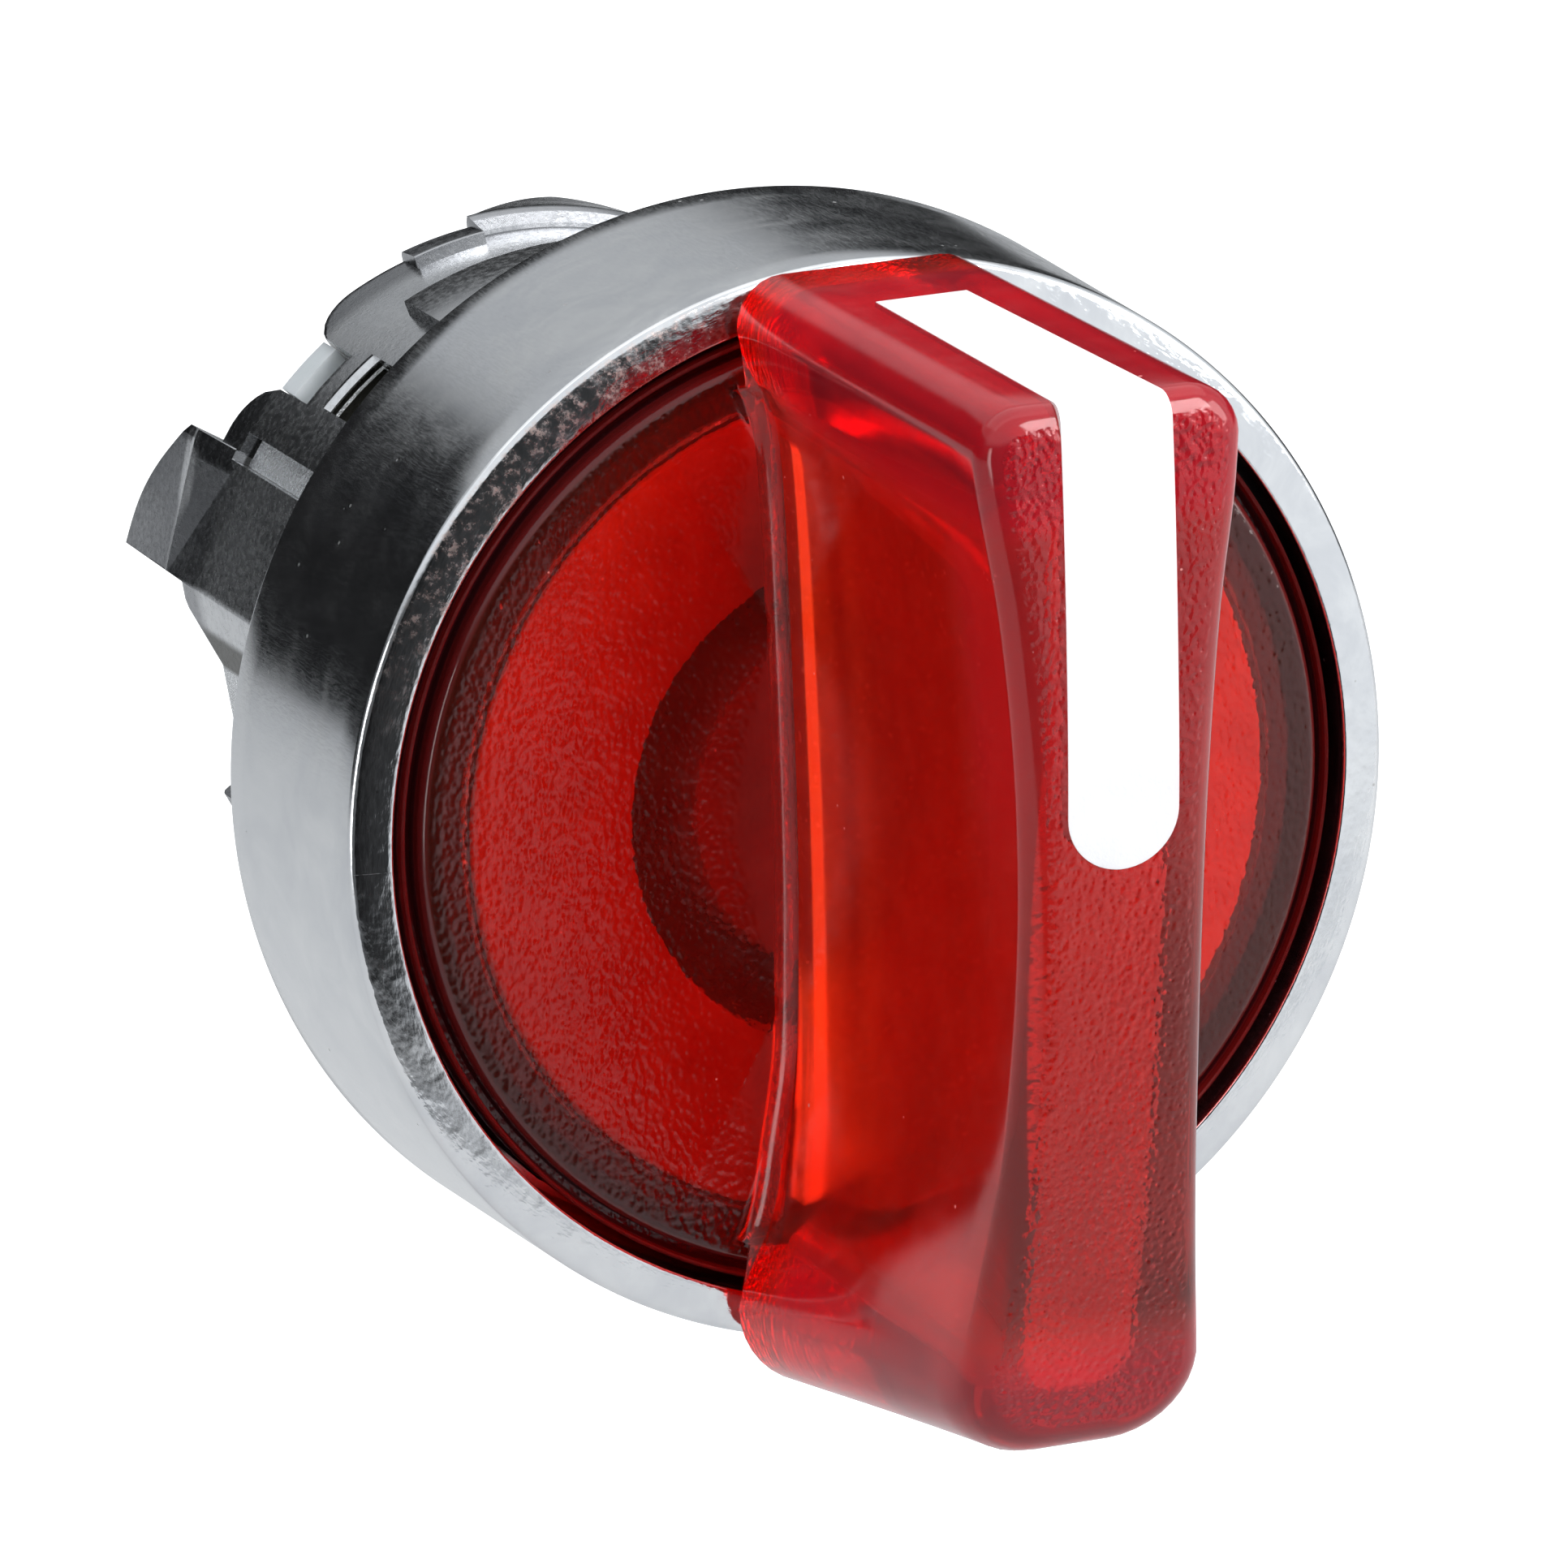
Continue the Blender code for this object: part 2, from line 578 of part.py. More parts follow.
# ---- push rods, their springs and their guide -------------------------------
def make_push_rod(name, mat, side):
    """side is -1 for the left rod and +1 for the right one."""
    cx = side * ROD_R
    slope = math.degrees(ROD_TRAVEL / KNOB_TRAVEL_DEG) / ROD_R
    n = 16
    rings = []

    def pad(half_x, half_z, y_of):
        ring = []
        for i in range(n):
            b = 2.0 * math.pi * (i + 0.5) / n
            c, s = math.cos(b), math.sin(b)
            k = 1.0 / max(abs(c), abs(s)) ** 0.75
            x, z = half_x * min(1.0, abs(c) * k) * (1 if c > 0 else -1), half_z * min(1.0, abs(s) * k) * (1 if s > 0 else -1)
            ring.append(Vector((cx + x, y_of(z), z)))
        return ring

    def circle(r, y):
        return [Vector((cx + r * math.cos(2 * math.pi * (i + 0.5) / n), y, r * math.sin(2 * math.pi * (i + 0.5) / n))) for i in range(n)]

    rings.append(pad(1.00, 1.30, lambda z: CAM_MEAN_Y + GAP + slope * z))
    rings.append(pad(1.15, 1.45, lambda z: CAM_MEAN_Y + GAP + 0.15 + slope * z))
    rings.append(pad(1.15, 1.45, lambda z: 12.40))
    rings.append(circle(0.85, 12.40))
    rings.append(circle(0.85, 18.35))
    rings.append(circle(0.60, 18.60))
    return stacked_body(name, mat, rings, smooth_angle=35.0)


def make_guide(mat):
    tabs = ((128.0, 136.0), (308.0, 316.0))

    def section(a):
        tab = inside(a, tabs)
        key = 10.15 if tab else 9.05
        return [(14.20, 4.90), (14.20, 9.05), (14.26, key), (15.34, key), (15.40, 9.05), (16.20, 9.05), (16.20, 4.90)]
    edges = [t - 0.15 for pair in tabs for t in pair]
    guide = ring_body("plunger_guide", mat, stepped_azimuths(10.0, edges), section)
    for k, side in enumerate((-1, 1)):
        def disc(r, y, n=18):
            return [Vector((side * ROD_R + r * math.cos(2 * math.pi * (i + 0.37) / n), y, r * math.sin(2 * math.pi * (i + 0.37) / n))) for i in range(n)]
        # one stepped cutter: the spring's pocket in front, the rod's bore behind it
        bore = stacked_body("rod_bore_cutter_%d" % k, None,
                            [disc(1.65, 13.4), disc(1.65, 15.55), disc(1.15, 15.55), disc(1.15, 17.0)], guide=True)
        combine(guide, bore, "DIFFERENCE")
    return guide


def main():
    wipe_scene()
    chrome = material("chromed_zinc", (0.62, 0.64, 0.66), 0.22, 1.0)
    red = material("red_translucent_plastic", (0.62, 0.02, 0.03), 0.18, 0.0, 0.4)
    white = material("white_plastic", (0.90, 0.90, 0.91), 0.55)
    opal = material("opal_plastic", (0.86, 0.85, 0.80), 0.45)
    clear = material("clear_plastic", (0.92, 0.93, 0.93), 0.10, 0.0, 0.8)
    acetal = material("natural_acetal", (0.83, 0.83, 0.78), 0.50)
    rubber = material("black_rubber", (0.03, 0.03, 0.03), 0.75)
    dark = material("black_plastic", (0.04, 0.04, 0.045), 0.45)
    steel = material("spring_steel", (0.55, 0.55, 0.56), 0.30, 1.0)

    make_housing(chrome)
    lathe("panel_gasket", rubber, [(-1.00, GASKET_IN_R), (-1.00, GASKET_OUT_R), (0.15, GASKET_OUT_R),
                                   (0.30, GASKET_OUT_R - 0.25), (0.30, GASKET_IN_R + 0.25), (0.15, GASKET_IN_R)])
    lathe("knob_lip_seal", rubber, [(-4.70, 11.98), (-4.70, 13.02), (-5.00, 13.06), (-5.25, 13.00), (-5.10, 12.80), (-5.10, 12.20)])
    lathe("thrust_washer", acetal, [(-3.40, 8.70), (-3.40, 10.40), (-2.90, 10.40), (-2.90, 8.70)])
    lathe("rotor_bush", acetal, [(0.60, 8.58), (0.60, 9.08), (4.40, 9.08), (4.40, 8.58)])

    make_knob(red)
    make_pointer(white)
    make_light_guide(clear)
    lathe("diffuser_ring", opal, [(-7.65, 6.50), (-7.65, 10.90), (-7.05, 10.90), (-7.05, 6.50)])
    turned_solid("light_pipe", clear, [(-7.65, 0.0), (-7.65, 4.45), (-7.50, 4.60), (-2.20, 4.60), (-1.90, 4.10), (-0.20, 4.10), (-0.20, 5.60),
                                       (0.60, 5.60), (0.60, 4.10), (3.90, 4.10), (4.00, 3.95), (4.00, 0.0)], segments=36)
    make_rotor(dark)
    ring = [(-1.30 + 0.55 * math.sin(rad(45.0 * i)), 8.50 + 0.55 * math.cos(rad(45.0 * i))) for i in range(8)]
    lathe("rotor_o_ring", rubber, ring, smooth_angle=60.0)
    make_clip(steel)
    make_cam(acetal)
    make_detent_spring("detent_spring_upper", steel, 90.0)
    make_detent_spring("detent_spring_lower", steel, 270.0)

    for word, side in (("left", -1), ("right", 1)):
        make_push_rod("plunger_" + word, white, side)
        coil("plunger_spring_" + word, steel, (side * ROD_R, 0.0), 12.62, 15.40, 1.27, 0.14, 4.5)
    make_guide(white)


main()
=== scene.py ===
import math

import bmesh
import bpy
from mathutils import Matrix, Vector


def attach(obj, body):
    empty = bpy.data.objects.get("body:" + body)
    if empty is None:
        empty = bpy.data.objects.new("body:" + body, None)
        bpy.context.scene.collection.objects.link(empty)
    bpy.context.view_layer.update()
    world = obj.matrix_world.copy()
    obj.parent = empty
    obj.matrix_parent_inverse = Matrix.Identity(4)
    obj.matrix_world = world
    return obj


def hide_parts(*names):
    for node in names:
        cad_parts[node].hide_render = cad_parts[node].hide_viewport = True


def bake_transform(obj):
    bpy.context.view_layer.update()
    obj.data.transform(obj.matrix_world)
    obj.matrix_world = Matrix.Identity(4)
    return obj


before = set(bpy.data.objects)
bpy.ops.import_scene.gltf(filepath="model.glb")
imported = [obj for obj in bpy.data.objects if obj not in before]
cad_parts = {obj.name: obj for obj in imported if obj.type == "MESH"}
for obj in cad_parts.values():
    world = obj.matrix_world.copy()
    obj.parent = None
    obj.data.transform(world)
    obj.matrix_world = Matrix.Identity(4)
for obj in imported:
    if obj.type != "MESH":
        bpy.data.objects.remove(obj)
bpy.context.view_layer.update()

MM = 0.001
scene = bpy.context.scene
scene.view_settings.view_transform = "Standard"
scene.view_settings.look = "None"
scene.cycles.max_bounces = 10
scene.cycles.transmission_bounces = 9
scene.cycles.glossy_bounces = 5
scene.cycles.diffuse_bounces = 4


def rad(a):
    return math.radians(a)


# ===========================================================================
# mesh helpers: everything is written in millimetres and scaled once
# ===========================================================================
def to_object(bm, name, mats, smooth_angle=30.0):
    bmesh.ops.recalc_face_normals(bm, faces=bm.faces)
    if bm.calc_volume(signed=True) < 0:
        bmesh.ops.reverse_faces(bm, faces=bm.faces)
    for v in bm.verts:
        v.co *= MM
    mesh = bpy.data.meshes.new(name)
    bm.to_mesh(mesh)
    bm.free()
    ob = bpy.data.objects.new(name, mesh)
    scene.collection.objects.link(ob)
    for m in mats if isinstance(mats, (list, tuple)) else [mats]:
        if m is not None:
            mesh.materials.append(m)
    mesh.shade_smooth()
    mesh.set_sharp_from_angle(angle=rad(smooth_angle))
    return ob


def polar(r, y, azimuth):
    a = rad(azimuth)
    return Vector((r * math.cos(a), y, r * math.sin(a)))


def skin(bm, rows, close_rows, close_columns):
    n, m = len(rows), len(rows[0])
    for i in range(n if close_rows else n - 1):
        a, b = rows[i], rows[(i + 1) % n]
        for j in range(m if close_columns else m - 1):
            k = (j + 1) % m
            bm.faces.new((a[j], a[k], b[k], b[j]))


def ring_body(name, mat, azimuths, section, **kw):
    bm = bmesh.new()
    rows = [[bm.verts.new(polar(r, y, a)) for (y, r) in section(a)] for a in azimuths]
    skin(bm, rows, True, True)
    return to_object(bm, name, mat, **kw)


def arc_body(name, mat, azimuths, section, **kw):
    bm = bmesh.new()
    rows = [[bm.verts.new(polar(r, y, a)) for (y, r) in section(a)] for a in azimuths]
    skin(bm, rows, False, True)
    bm.faces.new(rows[0])
    bm.faces.new(list(reversed(rows[-1])))
    return to_object(bm, name, mat, **kw)


def lathe(name, mat, loop, segments=144, **kw):
    steps = [360.0 * i / segments for i in range(segments)]
    return ring_body(name, mat, steps, lambda a: loop, **kw)


def turned_solid(name, mat, profile, segments=144, **kw):
    bm = bmesh.new()
    first = bm.verts.new((0.0, profile[0][0], 0.0))
    last = bm.verts.new((0.0, profile[-1][0], 0.0))
    rows = []
    for i in range(segments):
        a = 360.0 * i / segments
        rows.append([bm.verts.new(polar(r, y, a)) for (y, r) in profile[1:-1]])
    skin(bm, rows, True, False)
    for i in range(segments):
        j = (i + 1) % segments
        bm.faces.new((first, rows[i][0], rows[j][0]))
        bm.faces.new((last, rows[j][-1], rows[i][-1]))
    return to_object(bm, name, mat, **kw)


def stacked_body(name, mat, rings, **kw):
    bm = bmesh.new()
    rows = [[bm.verts.new(p) for p in ring] for ring in rings]
    skin(bm, rows, False, True)
    bm.faces.new(rows[0])
    bm.faces.new(list(reversed(rows[-1])))
    return to_object(bm, name, mat, **kw)


def fillet_points(cy, cr, radius, a0, a1, steps):
    """Arc in the (y, r) plane; 0 degrees points outwards, 90 towards +y."""
    out = []
    for i in range(steps + 1):
        b = rad(a0 + (a1 - a0) * i / steps)
        out.append((cy + radius * math.sin(b), cr + radius * math.cos(b)))
    return out


def combine(target, other, operation):
    mod = target.modifiers.new(operation.lower() + "_" + other.name, "BOOLEAN")
    mod.object = other
    mod.operation = operation
    mod.solver = "EXACT"


def bake_modifiers(ob, tools=(), smooth_angle=30.0):
    """Apply the modifiers and take the cutters away."""
    deps = bpy.context.evaluated_depsgraph_get()
    mesh = bpy.data.meshes.new_from_object(ob.evaluated_get(deps))
    ob.modifiers.clear()
    old = ob.data
    ob.data = mesh
    bpy.data.meshes.remove(old)
    for t in tools:
        bpy.data.objects.remove(t, do_unlink=True)
    ob.data.validate(clean_customdata=False)
    ob.data.shade_smooth()
    ob.data.set_sharp_from_angle(angle=rad(smooth_angle))
    return ob


def eased(table, z):
    """Smooth curve through a short table of (z, value)."""
    if z <= table[0][0]:
        return table[0][1]
    if z >= table[-1][0]:
        return table[-1][1]
    n = len(table)
    for i in range(n - 1):
        z0, v0 = table[i]
        z1, v1 = table[i + 1]
        if z <= z1:
            h = z1 - z0
            m0 = (v1 - table[i - 1][1]) / (z1 - table[i - 1][0]) if i > 0 else (v1 - v0) / h
            m1 = (table[i + 2][1] - v0) / (table[i + 2][0] - z0) if i + 2 < n else (v1 - v0) / h
            t = (z - z0) / h
            return ((2 * t ** 3 - 3 * t ** 2 + 1) * v0 + (t ** 3 - 2 * t ** 2 + t) * h * m0
                    + (-2 * t ** 3 + 3 * t ** 2) * v1 + (t ** 3 - t ** 2) * h * m1)
    return table[-1][1]


def inside(a, sectors):
    a %= 360.0
    return any(lo <= a <= hi for lo, hi in sectors)


# ===========================================================================
# materials
# ===========================================================================
class Mat:
    """Small wrapper round a Principled material's node tree."""

    def __init__(self, name, **values):
        self.mat = bpy.data.materials.new(name)
        self.mat.use_nodes = True
        self.nt = self.mat.node_tree
        self.p = self.nt.nodes["Principled BSDF"]
        self.out = self.nt.nodes["Material Output"]
        for key, value in values.items():
            self.set(self.p, key.replace("_", " "), value)
        self.coord = self.nt.nodes.new("ShaderNodeTexCoord")

    @staticmethod
    def set(node, key, value):
        socket = node.inputs[key]
        if hasattr(value, "__len__") and len(value) == 3 and socket.type == "RGBA":
            value = (*value, 1.0)
        socket.default_value = value

    def node(self, kind, links=None, **props):
        n = self.nt.nodes.new("ShaderNode" + kind)
        inputs = props.pop("inputs", {})
        for k, v in props.items():
            setattr(n, k, v)
        for k, v in inputs.items():
            if isinstance(v, bpy.types.NodeSocket):
                self.nt.links.new(v, n.inputs[k])
            else:
                self.set(n, k, v) if isinstance(k, str) else self._set_index(n, k, v)
        return n

    @staticmethod
    def _set_index(n, k, v):
        socket = n.inputs[k]
        if hasattr(v, "__len__") and len(v) == 3 and socket.type == "RGBA":
            v = (*v, 1.0)
        socket.default_value = v

    def link(self, a, b):
        self.nt.links.new(a, b)

    @property
    def obj(self):
        return self.coord.outputs["Object"]

    @property
    def normal(self):
        return self.coord.outputs["Normal"]

    def stretched(self, scale, source=None):
        m = self.node("Mapping", inputs={"Vector": source or self.obj, "Scale": scale})
        return m.outputs["Vector"]

    def cylinder(self, around, along, out=1000.0):
        """Coordinates wrapped round the Y axis: arc length, y and radius, in mm times a scale."""
        s = self.node("SeparateXYZ", inputs={"Vector": self.obj})
        ang = self.math("ARCTAN2", s.outputs["Z"], s.outputs["X"])
        r2 = self.math("SQRT", self.math("ADD", self.math("MULTIPLY", s.outputs["X"], s.outputs["X"]),
                                         self.math("MULTIPLY", s.outputs["Z"], s.outputs["Z"])))
        c = self.node("CombineXYZ", inputs={"X": self.math("MULTIPLY", ang, 14.5 * around),
                                            "Y": self.math("MULTIPLY", s.outputs["Y"], 1000.0 * along),
                                            "Z": self.math("MULTIPLY", r2, out)})
        return c.outputs["Vector"]

    def radius(self):
        s = self.node("SeparateXYZ", inputs={"Vector": self.obj})
        return self.math("SQRT", self.math("ADD", self.math("MULTIPLY", s.outputs["X"], s.outputs["X"]),
                                           self.math("MULTIPLY", s.outputs["Z"], s.outputs["Z"])))

    def axis(self, which, source=None):
        return self.node("SeparateXYZ", inputs={"Vector": source or self.obj}).outputs[which]

    def math(self, op, a, b=0.0, clamp=False):
        n = self.nt.nodes.new("ShaderNodeMath")
        n.operation = op
        n.use_clamp = clamp
        for i, v in enumerate((a, b)):
            if isinstance(v, bpy.types.NodeSocket):
                self.nt.links.new(v, n.inputs[i])
            else:
                n.inputs[i].default_value = v
        return n.outputs[0]

    def ramp(self, value, lo, hi, a=0.0, b=1.0, smooth=True):
        n = self.node("MapRange", inputs={"From Min": lo, "From Max": hi, "To Min": a, "To Max": b})
        n.interpolation_type = "SMOOTHSTEP" if smooth else "LINEAR"
        self.link(value, n.inputs["Value"])
        return n.outputs["Result"]

    def noise(self, vector, scale, detail=2.0, rough=0.5, distortion=0.0):
        return self.node("TexNoise", inputs={"Vector": vector, "Scale": scale, "Detail": detail,
                                             "Roughness": rough, "Distortion": distortion}).outputs["Fac"]

    def cells(self, vector, scale, feature="F1", randomness=1.0):
        return self.node("TexVoronoi", feature=feature,
                         inputs={"Vector": vector, "Scale": scale, "Randomness": randomness}).outputs["Distance"]

    def mix(self, fac, a, b):
        n = self.node("Mix", data_type="RGBA")
        for k, v in ((0, fac), (6, a), (7, b)):
            if isinstance(v, bpy.types.NodeSocket):
                self.nt.links.new(v, n.inputs[k])
            elif k == 0:
                n.inputs[0].default_value = v
            else:
                n.inputs[k].default_value = (*v, 1.0)
        return n.outputs[2]

    def bump(self, height, strength=1.0, distance=0.00002, base=None):
        n = self.nt.nodes.new("ShaderNodeBump")
        n.inputs["Distance"].default_value = distance
        if isinstance(strength, bpy.types.NodeSocket):
            self.nt.links.new(strength, n.inputs["Strength"])
        else:
            n.inputs["Strength"].default_value = strength
        self.nt.links.new(height, n.inputs["Height"])
        if base is not None:
            self.nt.links.new(base, n.inputs["Normal"])
        return n.outputs["Normal"]

    def drive(self, **sockets):
        for key, value in sockets.items():
            self.nt.links.new(value, self.p.inputs[key.replace("_", " ")])


def specks(m, scale, size, share, seed=0.0):
    """Sparse round specks of dust: 1 inside a speck."""
    shifted = m.node("Mapping", inputs={"Vector": m.obj, "Location": (seed, seed * 0.37, seed * 0.71)})
    v = m.node("TexVoronoi", feature="F1", inputs={"Vector": shifted.outputs["Vector"], "Scale": scale})
    pick = m.axis("X", v.outputs["Color"])
    chosen = m.math("LESS_THAN", pick, share)
    near = m.ramp(v.outputs["Distance"], size * 0.5, size, 1.0, 0.0)
    return m.math("MULTIPLY", chosen, near)


def make_chrome():
    """Chromed zinc casting: satin turned side, mirror front ring, rough cast shank."""
    m = Mat("chromed_zinc_casting", Base_Color=(0.78, 0.79, 0.81), Metallic=1.0, Roughness=0.2)
    y = m.axis("Y")
    r = m.radius()
    front = m.math("MULTIPLY", m.ramp(y, -0.00868, -0.00878, 0.0, 1.0), 1.0)      # the front ring
    shank = m.ramp(y, 0.00005, 0.00020, 0.0, 1.0)
    # turned side: fine streaks along the axis, cloudy satin patches
    streak = m.noise(m.cylinder(26.0, 3.0), 1.0, 4.0, 0.65)
    grain = m.noise(m.cylinder(60.0, 16.0), 1.0, 3.0, 0.6)
    cloud = m.noise(m.obj, 420.0, 4.0, 0.62, 0.6)
    pits = specks(m, 1900.0, 0.11, 0.13)
    side_rough = m.math("ADD", m.ramp(cloud, 0.3, 0.7, 0.13, 0.20), m.ramp(streak, 0.35, 0.7, -0.02, 0.06))
    side_rough = m.math("ADD", side_rough, m.math("MULTIPLY", pits, 0.35))
    # front ring: mirror with orange peel
    ring_rough = m.ramp(m.noise(m.obj, 2600.0, 3.0), 0.35, 0.75, 0.05, 0.16)
    # its plating is mottled brown over one part of the ring
    worn_ring = m.math("MULTIPLY", m.ramp(m.axis("X"), -0.0020, -0.0055), m.ramp(m.axis("Z"), 0.0020, 0.0085))
    mottle = m.math("MULTIPLY", m.math("MULTIPLY", worn_ring, front), m.ramp(m.noise(m.obj, 3300.0, 5.0, 0.75), 0.43, 0.70))
    ring_rough = m.math("ADD", ring_rough, m.math("MULTIPLY", mottle, 0.34))
    # shank: sandy cast skin under the plating
    cast = m.noise(m.obj, 5200.0, 5.0, 0.7)
    patch = m.ramp(m.noise(m.obj, 330.0, 2.0), 0.38, 0.60)
    shank_rough = m.ramp(cast, 0.3, 0.7, 0.17, 0.30)
    rough = m.node("Mix", inputs={0: shank, 2: side_rough, 3: shank_rough}).outputs[0]
    rough = m.node("Mix", inputs={0: front, 2: rough, 3: ring_rough}).outputs[0]
    m.drive(Roughness=rough)
    tint = m.mix(m.ramp(cloud, 0.3, 0.75), (0.70, 0.715, 0.74), (0.83, 0.84, 0.85))
    tint = m.mix(m.math("MULTIPLY", pits, 0.7), tint, (0.45, 0.44, 0.43))
    tint = m.mix(m.math("MULTIPLY", shank, m.ramp(cast, 0.42, 0.70, 0.0, 0.40)), tint, (0.42, 0.42, 0.43))
    tint = m.mix(m.math("MULTIPLY", shank, 0.35), tint, (0.50, 0.51, 0.52))
    # painted shade: inside the bore, behind y = 7 mm, the chrome tint is darkened to near black
    bore = m.math("MULTIPLY", m.ramp(r, 0.01006, 0.01000, 0.0, 1.0), m.ramp(y, 0.0070, 0.0072, 0.0, 1.0))
    floor = m.math("MULTIPLY", m.math("MULTIPLY", m.ramp(r, 0.00978, 0.00980, 0.0, 1.0), m.ramp(r, 0.00990, 0.00988, 0.0, 1.0)), bore)
    tint = m.mix(m.math("MULTIPLY", bore, 0.94), tint, (0.030, 0.028, 0.020))
    # partly painted highlight: the groove floor gets back a plain chrome tint, set a little lighter than the turned
    # side, under a strong bump
    tint = m.mix(floor, tint, (0.86, 0.88, 0.90))
    # painted highlight: a bright chrome tint along the lug ridges, where they stand above the tube
    ridge_painted_highlight = m.math("MULTIPLY", m.ramp(r, 0.01030, 0.01042, 0.0, 0.55), m.math("MULTIPLY", m.ramp(y, 0.0168, 0.0170), m.ramp(y, 0.0179, 0.0177)))
    # painted shade: the rear of the shank is darkened to a near-black chrome tint behind y = 15 mm, and more behind
    # 17.5 mm, except along the ridges
    rear_painted_shade = m.math("MULTIPLY", m.math("MAXIMUM", m.math("MULTIPLY", m.ramp(y, 0.0146, 0.0156), 0.66), m.math("MULTIPLY", m.ramp(y, 0.0173, 0.0177), 0.80)),
                  m.math("SUBTRACT", 1.0, ridge_painted_highlight))
    tint = m.mix(rear_painted_shade, tint, (0.13, 0.135, 0.15))
    tint = m.mix(ridge_painted_highlight, tint, (0.92, 0.93, 0.95))
    tint = m.mix(m.math("MULTIPLY", mottle, 0.85), tint, (0.72, 0.56, 0.50))
    m.drive(Base_Color=tint)
    side_bump = m.math("ADD", m.math("MULTIPLY", streak, 0.5), m.math("MULTIPLY", grain, 0.5))
    n1 = m.bump(side_bump, m.ramp(front, 0.0, 1.0, 0.10, 0.0), 0.000008)
    peel = m.math("ADD", m.noise(m.obj, 1500.0, 2.0), m.math("MULTIPLY", m.noise(m.cylinder(3.0, 1.0, 9000.0), 1.0, 3.0), 0.35))
    n2 = m.bump(peel, m.math("MULTIPLY", front, 0.55), 0.00004, n1)
    n3 = m.bump(cast, m.math("MULTIPLY", m.math("MULTIPLY", shank, m.ramp(r, 0.01066, 0.01072, 1.0, 0.25)), m.math("ADD", m.math("MULTIPLY", patch, 0.40), 0.08)), 0.000016, n2)
    n4 = m.bump(m.noise(m.obj, 7000.0, 4.0, 0.75), floor, 0.00018, n3)
    m.drive(Normal=n4)
    return m.mat


def clear_for_lamps(m, tint):
    """Lamps shine through the plastic: a tinted Transparent for shadow rays."""
    path = m.node("LightPath")
    see = m.node("BsdfTransparent", inputs={"Color": tint})
    mix = m.node("MixShader", inputs={0: path.outputs["Is Shadow Ray"]})
    m.link(m.p.outputs[0], mix.inputs[1])
    m.link(see.outputs[0], mix.inputs[2])
    m.link(mix.outputs[0], m.out.inputs["Surface"])


def make_red():
    """Deep red translucent plastic: polished sides, pebbled front faces, dust."""
    m = Mat("red_translucent_plastic", Base_Color=(0.90, 0.05, 0.03), Roughness=0.1, IOR=1.49,
            Transmission_Weight=0.93)
    ny = m.axis("Y", m.normal)
    facing = m.ramp(ny, -0.88, -0.93, 0.0, 1.0)
    y, z = m.axis("Y"), m.axis("Z")
    solid = m.math("MAXIMUM", m.ramp(z, 0.0095, 0.0120), m.ramp(z, -0.0090, -0.0120))
    solid = m.math("MULTIPLY", solid, m.ramp(y, -0.0096, -0.0120))
    solid = m.math("MAXIMUM", solid, m.math("MULTIPLY", m.ramp(y, -0.0205, -0.0235), m.ramp(z, -0.0020, 0.0060, 0.22, 0.75)))
    pebble = m.cells(m.stretched((1.0, 1.0, 0.80)), 6200.0, "SMOOTH_F1")
    fine = m.noise(m.obj, 9000.0, 2.0)
    wave = m.noise(m.obj, 900.0, 3.0)
    dust = m.math("MAXIMUM", specks(m, 1250.0, 0.055, 0.10), specks(m, 700.0, 0.045, 0.12, 3.1))
    rough = m.math("ADD", m.ramp(facing, 0.0, 1.0, 0.11, 0.13), m.ramp(wave, 0.4, 0.7, 0.0, 0.05))
    rough = m.math("ADD", rough, m.math("MULTIPLY", dust, 0.4))
    m.drive(Roughness=rough)
    base = m.mix(m.ramp(wave, 0.35, 0.7), (0.86, 0.105, 0.055), (0.92, 0.135, 0.070))
    base = m.mix(solid, base, (0.86, 0.030, 0.055))
    r = m.radius()
    flat = m.ramp(y, -0.0093, -0.0091)
    # painted shade: the disc's rounded edge and lip are darkened to a deep maroon and made a little less clear
    rim = m.math("MULTIPLY", m.ramp(r, 0.01235, 0.01250), flat)
    # painted shade: the skirt behind the disc is painted near black and made mostly opaque
    skirt_painted_shade = m.math("MULTIPLY", m.ramp(r, 0.01118, 0.01126), m.ramp(y, -0.00850, -0.00830))
    base = m.mix(m.math("MULTIPLY", rim, 0.8), base, (0.42, 0.030, 0.045))
    base = m.mix(skirt_painted_shade, base, (0.050, 0.010, 0.014))
    base = m.mix(m.math("MULTIPLY", dust, 0.75), base, (0.80, 0.45, 0.42))
    m.drive(Base_Color=base)
    m.drive(Transmission_Weight=m.math("MULTIPLY", m.ramp(dust, 0.0, 1.0, 0.965, 0.25), m.math("MULTIPLY", m.ramp(solid, 0.0, 1.0, 1.0, 0.76),
                                               m.math("MULTIPLY", m.ramp(rim, 0.0, 1.0, 1.0, 0.88), m.ramp(skirt_painted_shade, 0.0, 1.0, 1.0, 0.30)))))
    height = m.math("ADD", pebble, m.math("MULTIPLY", fine, 0.25))
    n1 = m.bump(height, m.math("MULTIPLY", facing, m.ramp(y, -0.0095, -0.0120, 0.45, 0.95)), 0.00007)
    n2 = m.bump(wave, 0.05, 0.00003, n1)
    m.drive(Normal=n2)
    clear_for_lamps(m, (0.95, 0.34, 0.22))
    absorb = m.node("VolumeAbsorption", inputs={"Color": (0.90, 0.04, 0.12), "Density": 650.0})
    m.link(absorb.outputs[0], m.out.inputs["Volume"])
    return m.mat


